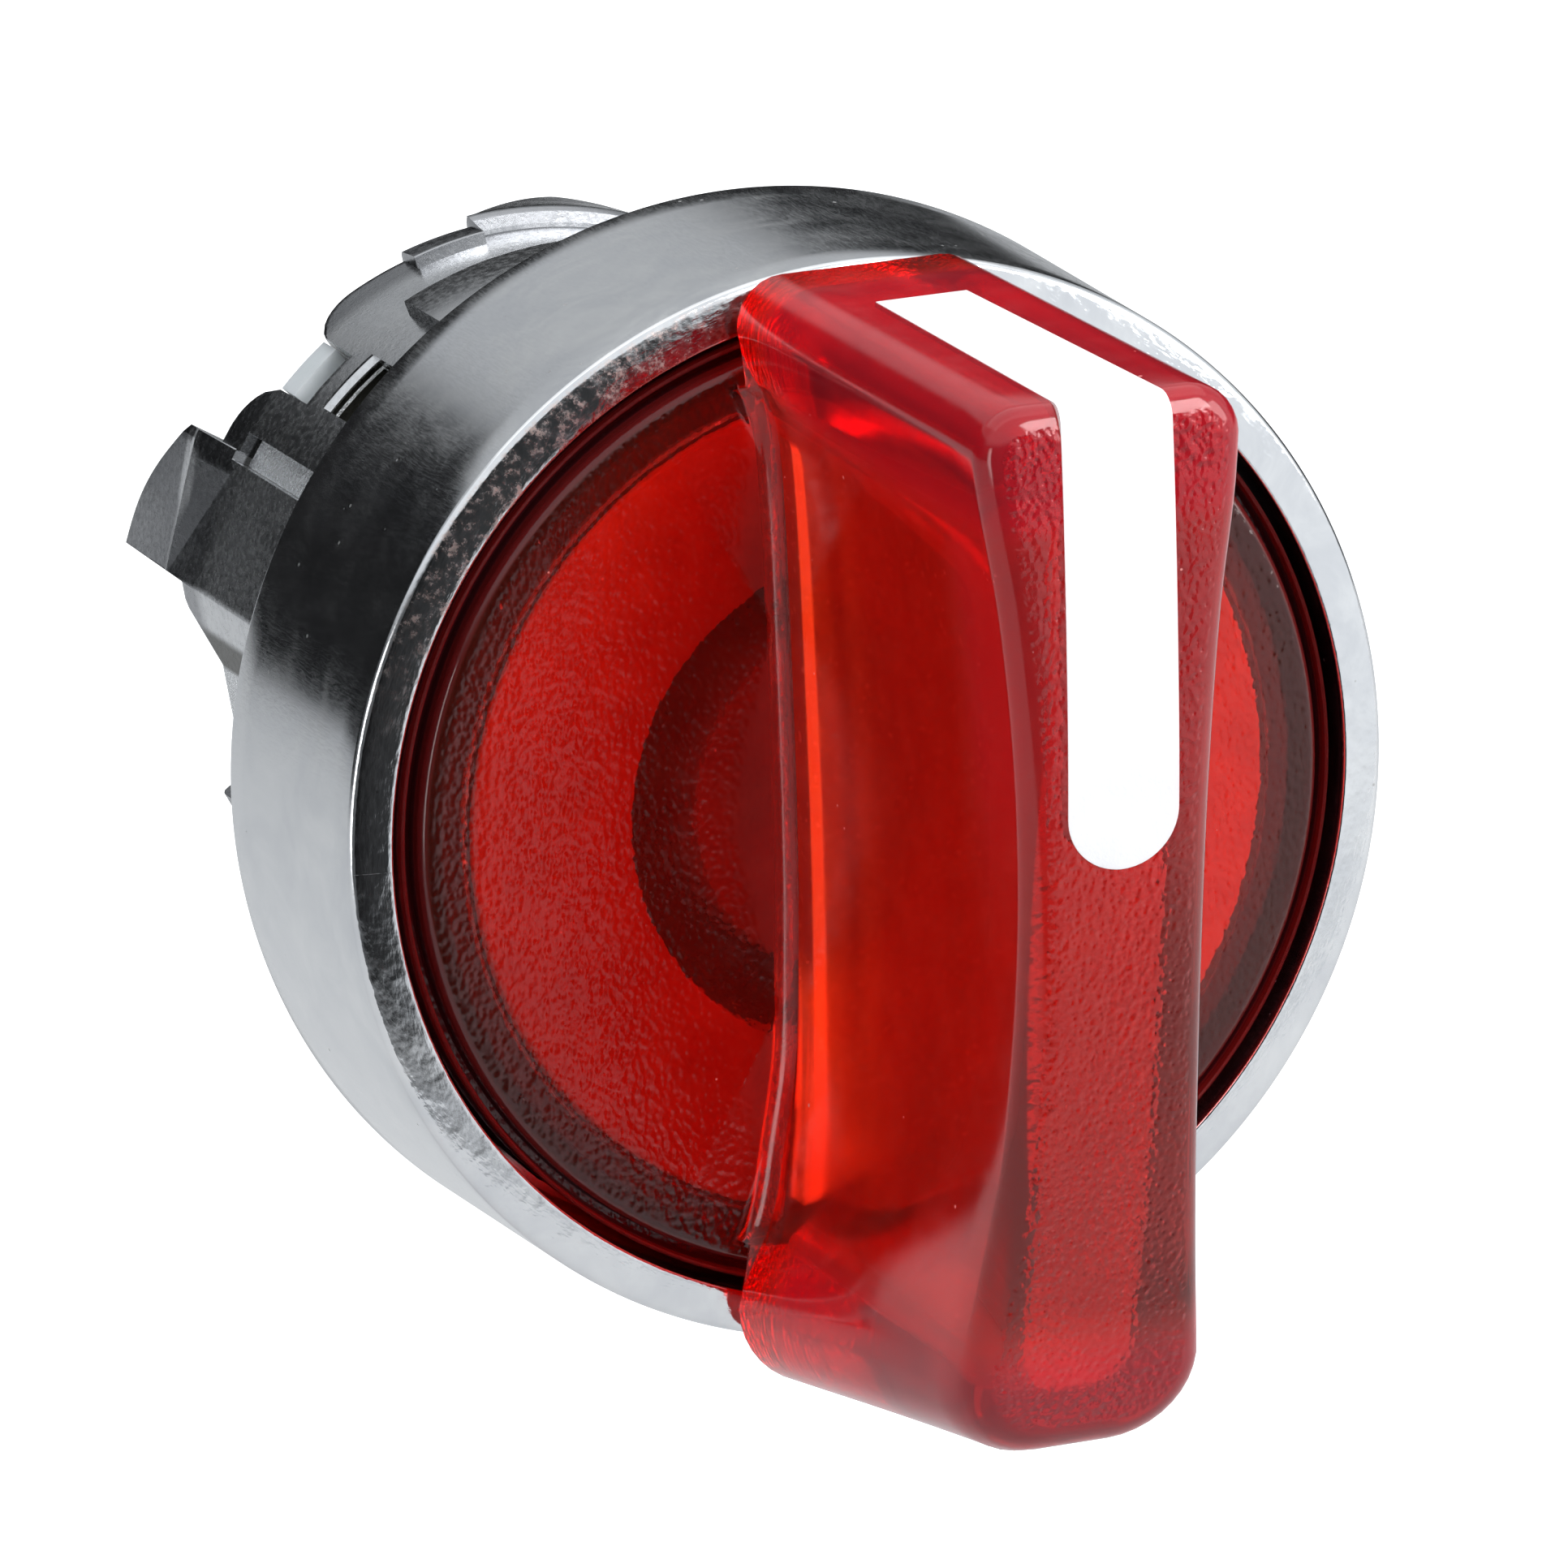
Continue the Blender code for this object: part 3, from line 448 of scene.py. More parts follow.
def make_white():
    m = Mat("white_inlay_plastic", Base_Color=(0.90, 0.90, 0.92), Roughness=0.45, Subsurface_Weight=0.15)
    m.p.inputs["Subsurface Radius"].default_value = (0.0006, 0.0006, 0.0006)
    m.p.inputs["Subsurface Scale"].default_value = 1.0
    grain = m.noise(m.obj, 7000.0, 3.0, 0.6)
    cloud = m.noise(m.obj, 500.0, 3.0)
    dirt = specks(m, 900.0, 0.06, 0.10)
    base = m.mix(m.ramp(cloud, 0.3, 0.7), (0.87, 0.88, 0.90), (0.93, 0.93, 0.945))
    base = m.mix(m.math("MULTIPLY", dirt, 0.25), base, (0.55, 0.50, 0.45))
    m.drive(Base_Color=base, Roughness=m.ramp(grain, 0.3, 0.7, 0.38, 0.6), Normal=m.bump(grain, 0.35, 0.00002))
    return m.mat


def make_tab_white():
    m = Mat("white_guide_plastic", Base_Color=(0.86, 0.87, 0.86), Roughness=0.35, Subsurface_Weight=0.4)
    m.p.inputs["Subsurface Radius"].default_value = (0.0012, 0.0012, 0.0011)
    m.p.inputs["Subsurface Scale"].default_value = 1.0
    grain = m.noise(m.obj, 5000.0, 3.0, 0.6)
    cloud = m.noise(m.obj, 600.0, 2.0)
    m.drive(Base_Color=m.mix(m.ramp(cloud, 0.35, 0.7), (0.58, 0.62, 0.64), (0.66, 0.70, 0.72)),
            Roughness=m.ramp(grain, 0.3, 0.7, 0.30, 0.48), Normal=m.bump(grain, 0.2, 0.00002))
    return m.mat


def make_opal(name="opal_diffuser", low=(0.50, 0.54, 0.43), high=(0.58, 0.62, 0.51)):
    m = Mat(name, Base_Color=(0.85, 0.80, 0.72), Roughness=0.5)
    grain = m.noise(m.obj, 6000.0, 3.0, 0.6)
    cloud = m.noise(m.obj, 350.0, 2.0)
    m.drive(Base_Color=m.mix(m.ramp(cloud, 0.35, 0.7), low, high),
            Roughness=m.ramp(grain, 0.3, 0.7, 0.42, 0.62), Normal=m.bump(grain, 0.25, 0.00002))
    return m.mat


def make_clear():
    m = Mat("clear_light_guide", Base_Color=(0.93, 0.94, 0.94), Roughness=0.12, IOR=1.49, Transmission_Weight=0.55)
    grain = m.noise(m.obj, 5000.0, 3.0, 0.6)
    m.drive(Roughness=m.ramp(grain, 0.3, 0.7, 0.10, 0.28), Normal=m.bump(grain, 0.2, 0.00002),
            Base_Color=m.mix(m.ramp(m.noise(m.obj, 400.0, 2.0), 0.35, 0.7), (0.60, 0.61, 0.58), (0.70, 0.71, 0.68)))
    x, y, z = m.axis("X"), m.axis("Y"), m.axis("Z")
    # painted light: the guide's fins glow orange along their front edge and in streaks at the low end, standing in for
    # light focused through the handle's foot
    fin = m.math("MULTIPLY", m.ramp(m.math("ABSOLUTE", x), 0.00138, 0.00142), m.ramp(y, -0.0081, -0.0083))
    edge = m.ramp(y, -0.00975, -0.00988)
    low = m.math("MULTIPLY", m.ramp(z, -0.0035, -0.0050), m.ramp(m.noise(m.stretched((4000.0, 1500.0, 160.0)), 1.0, 2.0), 0.42, 0.62))
    painted_glow = m.math("MULTIPLY", fin, m.math("MAXIMUM", edge, low))
    m.p.inputs["Emission Color"].default_value = (1.0, 0.55, 0.20, 1.0)
    m.drive(Emission_Strength=m.math("MULTIPLY", painted_glow, 1.0))
    clear_for_lamps(m, (0.84, 0.83, 0.81))
    return m.mat


def make_dark():
    # painted shade: the rotor carrier is given a near-black colour so the deep well behind the lens and the zone round
    # the diffuser read dark
    m = Mat("rotor_painted_shade_dark", Base_Color=(0.045, 0.045, 0.05), Roughness=0.45)
    grain = m.noise(m.obj, 5200.0, 3.0, 0.65)
    cloud = m.noise(m.obj, 420.0, 2.0)
    m.drive(Base_Color=m.mix(m.ramp(cloud, 0.35, 0.7), (0.035, 0.035, 0.038), (0.065, 0.064, 0.066)),
            Roughness=m.ramp(grain, 0.3, 0.7, 0.36, 0.55), Normal=m.bump(grain, 0.3, 0.00002))
    return m.mat


def make_acetal():
    m = Mat("natural_acetal", Base_Color=(0.83, 0.83, 0.78), Roughness=0.38, Subsurface_Weight=0.2)
    m.p.inputs["Subsurface Radius"].default_value = (0.0008, 0.0008, 0.0007)
    m.p.inputs["Subsurface Scale"].default_value = 1.0
    grain = m.noise(m.obj, 4200.0, 3.0, 0.6)
    cloud = m.noise(m.obj, 500.0, 2.0)
    m.drive(Base_Color=m.mix(m.ramp(cloud, 0.35, 0.7), (0.78, 0.78, 0.71), (0.87, 0.87, 0.83)),
            Roughness=m.ramp(grain, 0.3, 0.7, 0.30, 0.46), Normal=m.bump(grain, 0.2, 0.00002))
    return m.mat


def make_rubber():
    m = Mat("black_rubber_seal", Base_Color=(0.02, 0.02, 0.02), Roughness=0.7)
    grain = m.noise(m.obj, 4500.0, 4.0, 0.7)
    bloom = m.noise(m.obj, 600.0, 3.0, 0.6)
    m.drive(Base_Color=m.mix(m.ramp(bloom, 0.45, 0.75), (0.012, 0.012, 0.013), (0.045, 0.044, 0.043)),
            Roughness=m.ramp(grain, 0.3, 0.7, 0.58, 0.82), Normal=m.bump(grain, 0.4, 0.00003))
    return m.mat


def make_steel():
    m = Mat("spring_steel_bright", Base_Color=(0.60, 0.60, 0.61), Metallic=1.0, Roughness=0.28)
    drawn = m.noise(m.obj, 6500.0, 3.0, 0.6)
    cloud = m.noise(m.obj, 900.0, 2.0)
    m.drive(Base_Color=m.mix(m.ramp(cloud, 0.35, 0.7), (0.50, 0.49, 0.48), (0.68, 0.68, 0.69)),
            Roughness=m.ramp(drawn, 0.3, 0.7, 0.20, 0.38), Normal=m.bump(drawn, 0.12, 0.00001))
    return m.mat


CHROME, RED, WHITE, TAB = make_chrome(), make_red(), make_white(), make_tab_white()
OPAL, CLEAR, DARK, ACETAL = make_opal(), make_clear(), make_dark(), make_acetal()
PIPE = make_opal("frosted_light_pipe", (0.30, 0.30, 0.26), (0.38, 0.38, 0.33))
RUBBER, STEEL = make_rubber(), make_steel()

# ===========================================================================
# die-cast bezel and shank
# ===========================================================================
BEZEL_FRONT_Y, BEZEL_BORE_R = -8.96, 13.34
BAND_SECTORS = ((30.0, 116.5), (210.0, 296.5))
NOTCH_SECTORS = ((126.9, 137.1), (306.9, 317.1))
GROOVE_SECTORS = ((145.3, 150.0), (325.3, 330.0))
LOW_RIM_SECTORS = ((181.5, 206.0),)
STOP_SECTORS = ((195.0, 217.5), (322.5, 345.0))
LUGS = ((148.5, 170.9, 18.0, 21.4), (55.0, 77.9, 19.6, 19.6), (77.9, 97.0, 19.6, 16.9),
        (328.5, 350.9, 18.0, 21.4), (235.0, 257.9, 19.6, 19.6), (257.9, 277.0, 19.6, 16.9))
FLATS = ((150.1, 170.9), (170.9, 206.0))          # flats milled along the shank, repeated half a turn on
LIP_SECTORS = ((97.0, 108.5), (277.0, 288.5))     # raised lip behind the rim, next to the broad lugs
NOTCH_FLOOR_Y, LOW_RIM_Y, RIM_Y = 13.15, 14.40, 16.70


def lug_end(a):
    a %= 360.0
    for lo, hi, ylo, yhi in LUGS:
        if lo <= a <= hi:
            t = (a - lo) / (hi - lo)
            return ylo + (yhi - ylo) * t + (0.75 * math.sin(math.pi * t) if ylo < 18.5 else 0.0)
    return None


def shank_radius(a):
    a %= 180.0
    for lo, hi in FLATS:
        for turn in (0.0, 180.0):
            if lo <= a + turn <= hi:
                middle, half = 0.5 * (lo + hi), 0.5 * (hi - lo)
                return 10.30 * math.cos(rad(half)) / math.cos(rad(a + turn - middle))
    return 10.30


def rim_end(a):
    a %= 360.0
    for lo, hi in NOTCH_SECTORS:
        if lo <= a <= hi:
            return NOTCH_FLOOR_Y
        away = min(abs(a - lo), abs(a - hi))
        if away < 9.0:                       # rounded shoulder beside the notch
            return RIM_Y - 1.75 * (1.0 - math.sqrt(max(0.0, 1.0 - (1.0 - away / 9.0) ** 2)))
    if inside(a, LOW_RIM_SECTORS):
        return LOW_RIM_Y
    for lo, hi in LOW_RIM_SECTORS:
        if lo - 7.0 < a < lo:
            return LOW_RIM_Y + (RIM_Y - LOW_RIM_Y) * (lo - a) / 7.0
    return RIM_Y


def front_ring_profile():
    """Bore edge, gently rolled mirror face, chamfer and turned side."""
    pts = [(BEZEL_FRONT_Y + 0.07, BEZEL_BORE_R)] + [
        (BEZEL_FRONT_Y + 0.07 * (1 - math.sin(rad(a))), BEZEL_BORE_R + 0.07 * (1 - math.cos(rad(a)))) for a in (18, 36, 54, 72, 90)]
    y, r = BEZEL_FRONT_Y, BEZEL_BORE_R + 0.07
    steps = 9
    width = 14.33 - r
    for k in range(1, steps + 1):
        tilt = rad(7.0 + 9.0 * ((k - 0.5) / steps) ** 1.2)
        y += width / steps * math.tan(tilt)
        r += width / steps
        pts.append((y, r))
    y0 = y
    pts += [(y0 + 0.015, 14.365), (y0 + 0.045, 14.405), (y0 + 0.085, 14.445), (y0 + 0.125, 14.475),
            (y0 + 0.165, 14.492), (y0 + 0.20, 14.499)]
    y1 = y0 + 0.24
    for k in range(1, 9):
        t = k / 8.0
        pts.append((y1 + (-0.22 - y1) * t, 14.50 + 0.19 * t))
    pts += [(-0.12, 14.67), (-0.04, 14.61), (0.0, 14.50)]
    return pts


FRONT_PROFILE = front_ring_profile()


def housing_section(a):
    lug = lug_end(a)
    end = lug if lug is not None else rim_end(a)
    tube = shank_radius(a)
    band = 10.82 if inside(a, BAND_SECTORS) else tube
    groove = inside(a, GROOVE_SECTORS)
    mid = 9.84 if groove else tube
    first = 9.84 if groove else band
    outer = [(6.90, 11.00), (7.00, 10.95), (7.06, max(first - 0.02, first)), (9.5, first), (12.20, first),
             (12.32, first - (0.03 if band > 10.5 and not groove else 0.0)),
             (12.42, first - (0.14 if band > 10.5 and not groove else 0.0)), (12.47, mid)]
    if lug is not None:
        along, slim = 0.35, False
        for lo, hi, ylo, yhi in LUGS:
            if lo <= a % 360.0 <= hi and hi - lo < 22.6 and ylo < 18.5:
                along, slim = (a % 360.0 - lo) / (hi - lo), True
        if slim:                              # ramped lug with a ridge running out along it
            height = 0.50 * (1.0 - along) + 0.03
            ridge_y = min(17.05 + 0.60 * along, end - 0.75)
            foot_y = ridge_y - 0.12 - 2.35 * (1.0 - along)
            if a % 180.0 < 150.25:
                foot_y = max(foot_y, 15.30)
            top = tube + height
            outer += [(min(14.95, foot_y - 0.10), mid), (foot_y, tube), (foot_y + 0.06, tube + 0.012)]
            tail = [(ridge_y - 0.09, top - 0.020), (ridge_y, top), (ridge_y + 0.10, top - 0.018),
                    (ridge_y + 0.28, top - 0.062), (ridge_y + 0.36, top - 0.070),
                    (end - 0.20, top - 0.075), (end - 0.09, top - 0.11), (end, top - 0.26)]
        else:                                 # broad lug with a steep front and a falling back
            top = tube + 0.50
            outer += [(14.95, mid), (15.10, tube), (16.20, tube)]
            fall = 0.085 * (end - 16.75)
            tail = [(16.30, tube + 0.10), (16.42, tube + 0.40), (16.52, top - 0.03), (16.64, top),
                    (16.80, top - 0.012), (end - 0.25, top - fall), (end - 0.12, top - fall - 0.04), (end, top - fall - 0.22)]
        inner = [(end, 9.20), (end - 0.15, 9.05), (RIM_Y + 0.1, 9.05), (RIM_Y - 0.2, 9.35)]
    else:
        outer += [(14.95, mid), (15.08, tube), (15.30, tube)]
        lip = 0.34 if inside(a, LIP_SECTORS) else 0.0
        front = min(15.38, end - 0.95)
        tail = [(front, tube + lip * 0.92), (front + 0.05, tube + lip), (front + 0.15, tube + lip), (end - 0.50, tube + lip * 0.80),
                (end - 0.38, tube + lip * 0.77), (end - 0.22, tube - 0.02 + lip * 0.8), (end - 0.07, tube - 0.10 + lip * 0.7), (end, tube - 0.25 + lip * 0.5)]
        inner = [(end, 9.50), (end - 0.12, 9.38), (end - 0.25, 9.35), (end - 0.40, 9.35)]
    count = len(outer)
    outer = [(min(y, tail[0][0] - 0.04 * (count - i)), r) for i, (y, r) in enumerate(outer)]
    stop_y = -4.30 if inside(a, STOP_SECTORS) else -2.60
    return (FRONT_PROFILE
            + [(0.0, 13.25), (-1.30, 13.20), (-1.30, 11.30), (0.0, 11.30), (0.0, 11.05), (0.05, 11.00)]
            + outer + tail + inner
            + [(4.0, 9.35), (-2.60, 9.35), (-2.63, 10.70), (stop_y - 0.05, 10.80),
               (stop_y - 0.10, BEZEL_BORE_R), (-5.2, BEZEL_BORE_R), (-7.2, BEZEL_BORE_R)])


def fine_azimuths(step, edges, width):
    marks = set()
    for e in edges:
        marks.add(round(e % 360.0, 4))
        marks.add(round((e + width) % 360.0, 4))
    a = 0.0
    while a < 359.99:
        if all(min(abs(a - m), 360.0 - abs(a - m)) > 0.3 * step for m in marks):
            marks.add(round(a, 4))
        a += step
    return sorted(marks)


def make_housing():
    edges = []
    for group in (BAND_SECTORS, NOTCH_SECTORS, GROOVE_SECTORS, STOP_SECTORS, LOW_RIM_SECTORS):
        for lo, hi in group:
            edges += [lo - 0.10, hi - 0.10]
    edges += [148.40, 170.80, 54.90, 96.90, 276.90, 328.40, 350.80, 234.90, 108.40, 288.40, 25.90, 205.90]
    body = ring_body("bezel_shell", CHROME, fine_azimuths(1.25, edges, 0.20), housing_section, smooth_angle=22.0)
    tools = []
    for k, lo in enumerate((125.2, 305.2)):
        azimuths = [lo + 11.0 * i / 8 for i in range(9)]
        loop = [(8.60, 8.60), (8.60, 12.00), (12.02, 12.00), (11.93, 10.24), (11.80, 10.07), (11.80, 8.60)]
        cutter = arc_body("window_cutter_%d" % k, None, azimuths, lambda a: loop)
        combine(body, cutter, "DIFFERENCE")
        tools.append(cutter)
    bake_modifiers(body, tools, 22.0)
    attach(body, "housing")
    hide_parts("bezel_body")
    return body


# ===========================================================================
# knob: disc with a hollow handle
# ===========================================================================
DISC_FRONT_Y, DISC_R = -9.00, 12.60
FRONT_WAIST = ((-14.0, 3.50), (-12.5, 3.36), (-8.3, 2.90), (-5.0, 2.62), (0.0, 2.50),
               (4.5, 2.62), (8.7, 2.97), (12.0, 3.45), (15.0, 3.70))
BASE_WAIST = ((-15.0, 4.70), (-12.6, 4.45), (-10.7, 3.52), (-8.6, 3.06), (-6.4, 2.65),
              (-3.2, 2.45), (0.0, 2.35), (4.5, 2.33), (9.0, 2.38), (11.0, 2.60), (12.5, 3.35), (15.0, 3.60))
FRONT_DEPTH = ((-14.5, 21.45), (-12.5, 22.20), (-8.3, 23.55), (-5.0, 24.55), (0.0, 25.55),
               (4.5, 26.10), (8.7, 26.35), (12.0, 26.45), (15.0, 26.45))
TOP_Z, TAIL_FRONT_Z, TAIL_BASE_Z, HANDLE_BASE_Y = 14.55, -14.15, -15.30, -9.40


def handle_outline(t, inset, fine=1):
    """Half outline of the handle seen along the axis, from the tail to the top."""
    top = TOP_Z - inset
    tail = TAIL_BASE_Z + (TAIL_FRONT_Z - TAIL_BASE_Z) * t + inset

    def half(z):
        return (1.0 - t) * eased(BASE_WAIST, z) + t * eased(FRONT_WAIST, z) - inset

    top_corner = max(1.30 - inset, 0.30)
    tail_corner = max(2.30 - inset, 0.45)
    side = []
    w = half(tail + tail_corner)
    n = 9 * fine
    for i in range(n + 1):
        b = rad(90.0 * i / n)
        side.append((w - tail_corner + tail_corner * math.sin(b), tail + tail_corner * (1.0 - math.cos(b))))
    z0, z1 = tail + tail_corner, top - top_corner
    n = 40 * fine
    for i in range(1, n):
        z = z0 + (z1 - z0) * i / n
        side.append((half(z), z))
    w = half(z1)
    n = 7 * fine
    for i in range(n + 1):
        b = rad(90.0 * i / n)
        side.append((w - top_corner + top_corner * math.cos(b), z1 + top_corner * math.sin(b)))
    return side


def handle_blank():
    """Closed handle with gridded end faces, flared where it meets the disc."""
    bm = bmesh.new()
    fillet = 0.90
    levels = []
    for y, grow in ((-8.78, 0.42), (-8.93, 0.42), (-9.06, 0.26), (-9.22, 0.12), (-9.42, 0.0)):
        levels.append(("foot", y, grow))
    for k in range(1, 13):
        levels.append(("wall", k / 12.0, 0.0))
    rings = []
    for kind, v, grow in levels:
        ring = []
        if kind == "foot":
            side = handle_outline(0.0, -grow)
            for x, z in side:
                zz = z
                if y_clip(v):
                    # below the disc's face the foot stays inside the disc's edge
                    r = math.hypot(x, z)
                    k = min(1.0, 12.05 / r)
                    x, zz = x * k, z * k
                ring.append(Vector((x, v, zz)))
        else:
            for x, z in handle_outline(v * 0.96, 0.0):
                front = -eased(FRONT_DEPTH, z) + fillet
                ring.append(Vector((x, -9.42 + (front + 9.42) * v, z)))
        rings.append(ring)
    for i in range(1, 9):
        b = rad(90.0 * i / 8)
        ring = []
        for x, z in handle_outline(1.0, fillet * (1.0 - math.cos(b))):
            ring.append(Vector((x, -eased(FRONT_DEPTH, z) + fillet * (1.0 - math.sin(b)), z)))
        rings.append(ring)
    n = len(rings[0])
    full = [[bm.verts.new(p) for p in ring] + [bm.verts.new(Vector((-p.x, p.y, p.z))) for p in reversed(ring)] for ring in rings]
    skin(bm, full, False, True)
    cols = 10
    for row, flip in ((full[0], False), (full[-1], True)):
        grid = []
        for i in range(n):
            a, b = row[i], row[2 * n - 1 - i]
            line = [a] + [bm.verts.new(a.co.lerp(b.co, j / cols)) for j in range(1, cols)] + [b]
            grid.append(line)
        for i in range(n - 1):
            for j in range(cols):
                bm.faces.new((grid[i][j], grid[i][j + 1], grid[i + 1][j + 1], grid[i + 1][j]))
    return to_object(bm, "handle_blank", None)


def y_clip(y):
    return y > -9.30


POINTER_HALF_W, POINTER_LOW_Z, POINTER_DEPTH = 1.50, 2.37, 0.60


def pointer_path(grow, fine, front_off=0.0, end_y=-13.6):
    """Spine of the pointer: (half width, surface point, outward direction)."""
    y_front = -eased(FRONT_DEPTH, TOP_Z)
    low = POINTER_LOW_Z + POINTER_HALF_W
    w0 = POINTER_HALF_W + grow
    path = []
    for i in range(fine + 1):
        b = rad(90.0 * i / fine)
        z = low - w0 * math.cos(b)
        path.append((max(w0 * math.sin(b), 0.05 + grow), Vector((0.0, -eased(FRONT_DEPTH, z), z)), Vector((0.0, -1.0, 0.0))))
    for i in range(1, fine + 1):
        z = low + (TOP_Z - 0.55 - low) * i / fine
        path.append((w0, Vector((0.0, -eased(FRONT_DEPTH, z), z)), Vector((0.0, -1.0, 0.0))))
    for i in range(1, 7):
        b = rad(90.0 * i / 6)
        out = Vector((0.0, -math.cos(b), math.sin(b)))
        centre = Vector((0.0, y_front + 0.55, TOP_Z - 0.55))
        path.append((w0 - 0.01 * i, centre + out * 0.55, out))
    for i in range(1, 9):
        t = i / 8.0
        y = y_front + 0.55 + (end_y - (y_front + 0.55)) * t
        path.append((w0 - 0.06 - 0.19 * t, Vector((0.0, y, TOP_Z)), Vector((0.0, 0.0, 1.0))))
    return path


def make_pointer():
    rings = []
    cols = 4
    for w, top, out in pointer_path(0.0, 14):
        top = top + out * 0.015
        under = top - out * POINTER_DEPTH
        ring = [top + Vector((w * (1 - 2 * j / cols), 0, 0)) for j in range(cols + 1)]
        ring += [under + Vector((w * (-1 + 2 * j / cols), 0, 0)) for j in range(cols + 1)]
        rings.append(ring)
    ob = stacked_body("pointer_bar", WHITE, rings, smooth_angle=35.0)
    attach(ob, "knob")
    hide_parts("pointer_inlay")
    return ob


def pointer_cutter():
    rings = []
    for w, top, out in pointer_path(0.012, 14, end_y=-13.58):
        over = top + out * 1.2
        under = top - out * (POINTER_DEPTH + 0.03)
        rings.append([over + Vector((w, 0, 0)), over - Vector((w, 0, 0)),
                      under - Vector((w, 0, 0)), under + Vector((w, 0, 0))])
    return stacked_body("pointer_groove_cutter", None, rings)


def pocket_outline(t, inset):
    top = 12.05 - inset
    tail = -12.30 - 0.30 * (1.0 - t) + inset

    def half(z):
        return 2.05 + (1.52 - 2.05) * t - inset

    corner = max(1.20 - inset, 0.40)
    side = []
    w = half(tail + corner)
    for i in range(7):
        b = rad(90.0 * i / 6)
        side.append((w - corner + corner * math.sin(b), tail + corner * (1.0 - math.cos(b))))
    for i in range(1, 24):
        z = tail + corner + (top - tail - 2.0 * corner) * i / 24.0
        side.append((half(z), z))
    w = half(top - corner)
    for i in range(7):
        b = rad(90.0 * i / 6)
        side.append((w - corner + corner * math.cos(b), top - corner + corner * math.sin(b)))
    return side


def pocket_blank(name, mat, inset, foot_y, wall):
    rings = []
    for k in range(7):
        t = k / 6.0
        ring = []
        for x, z in pocket_outline(t, inset):
            front = -eased(FRONT_DEPTH, z) + wall
            ring.append(Vector((x, foot_y + (front - foot_y) * t, z)))
        rings.append(ring)
    bm = bmesh.new()
    n = len(rings[0])
    full = [[bm.verts.new(p) for p in ring] + [bm.verts.new(Vector((-p.x, p.y, p.z))) for p in reversed(ring)] for ring in rings]
    skin(bm, full, False, True)
    cols = 6
    for row in (full[0], full[-1]):
        grid = []
        for i in range(n):
            a, b = row[i], row[2 * n - 1 - i]
            grid.append([a] + [bm.verts.new(a.co.lerp(b.co, j / cols)) for j in range(1, cols)] + [b])
        for i in range(n - 1):
            for j in range(cols):
                bm.faces.new((grid[i][j], grid[i][j + 1], grid[i + 1][j + 1], grid[i + 1][j]))
    return to_object(bm, name, mat)


def make_knob():
    profile = [(DISC_FRONT_Y, 0.0), (DISC_FRONT_Y, 6.0), (DISC_FRONT_Y, 12.25)]
    profile += [(DISC_FRONT_Y + 0.35 * (1 - math.cos(rad(a))), 12.25 + 0.35 * math.sin(rad(a))) for a in (18, 36, 54, 72, 90)]
    profile += [(-8.02, DISC_R), (-7.96, 12.66), (-7.96, 12.82), (-8.02, 12.88), (-8.56, 12.90),
                (-8.64, 12.93), (-8.67, 12.98), (-8.63, 13.03), (-8.54, 13.05), (-7.50, 13.04), (-7.50, DISC_R),
                (-5.60, DISC_R), (-5.60, 11.95), (-8.12, 11.92), (-8.20, 11.84), (-8.22, 11.34), (-8.54, 11.25), (-8.60, 11.17), (-8.60, 6.0), (-8.60, 0.0)]
    disc = turned_solid("lens_with_handle", RED, profile, segments=180, smooth_angle=28.0)
    handle = handle_blank()
    pocket = pocket_blank("pocket_cutter", None, 0.0, -8.33, 1.55)
    groove = pointer_cutter()
    combine(disc, handle, "UNION")
    combine(disc, pocket, "DIFFERENCE")
    combine(disc, groove, "DIFFERENCE")
    bake_modifiers(disc, (handle, pocket, groove), 24.0)
    for m in list(disc.data.materials):
        pass
    while len(disc.data.materials) > 1:
        disc.data.materials.pop()
    for poly in disc.data.polygons:
        poly.material_index = 0
    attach(disc, "knob")
    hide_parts("knob_lens")
    return disc


GUIDE_SIDE = ((-8.66, 10.90), (-13.0, 10.90), (-14.6, 10.30), (-21.4, 9.55), (-22.0, 9.20), (-22.20, 8.50), (-22.15, 6.0),
              (-22.0, 3.1), (-21.75, 1.0), (-21.3, -1.3), (-20.7, -3.4), (-19.9, -5.3), (-18.9, -6.8), (-17.6, -8.0),
              (-16.0, -9.0), (-14.2, -9.8), (-12.0, -10.45), (-10.0, -10.8), (-8.66, -10.9))


def guide_block():
    """Moulded light guide: a plate across the knob with a rounded front outline."""
    pts = []
    n = len(GUIDE_SIDE)
    for i in range(n - 1):
        (y0, z0), (y1, z1) = GUIDE_SIDE[i], GUIDE_SIDE[i + 1]
        steps = max(1, int(math.hypot(y1 - y0, z1 - z0) / 0.8))
        for k in range(steps):
            pts.append(Vector((y0 + (y1 - y0) * k / steps, z0 + (z1 - z0) * k / steps)))
    pts.append(Vector(GUIDE_SIDE[-1]))
    centre = Vector((-8.0, 0.0))
    rings = []
    for x, inset in ((-1.25, 0.22), (-1.19, 0.07), (-1.03, 0.0), (1.03, 0.0), (1.19, 0.07), (1.25, 0.22)):
        ring = []
        for p in pts:
            d = centre - p
            q = p + d.normalized() * inset if p.x < -8.67 else p
            ring.append(Vector((x, q.x, q.y)))
        rings.append(ring)
    return stacked_body("light_guide_block", CLEAR, rings, smooth_angle=30.0)


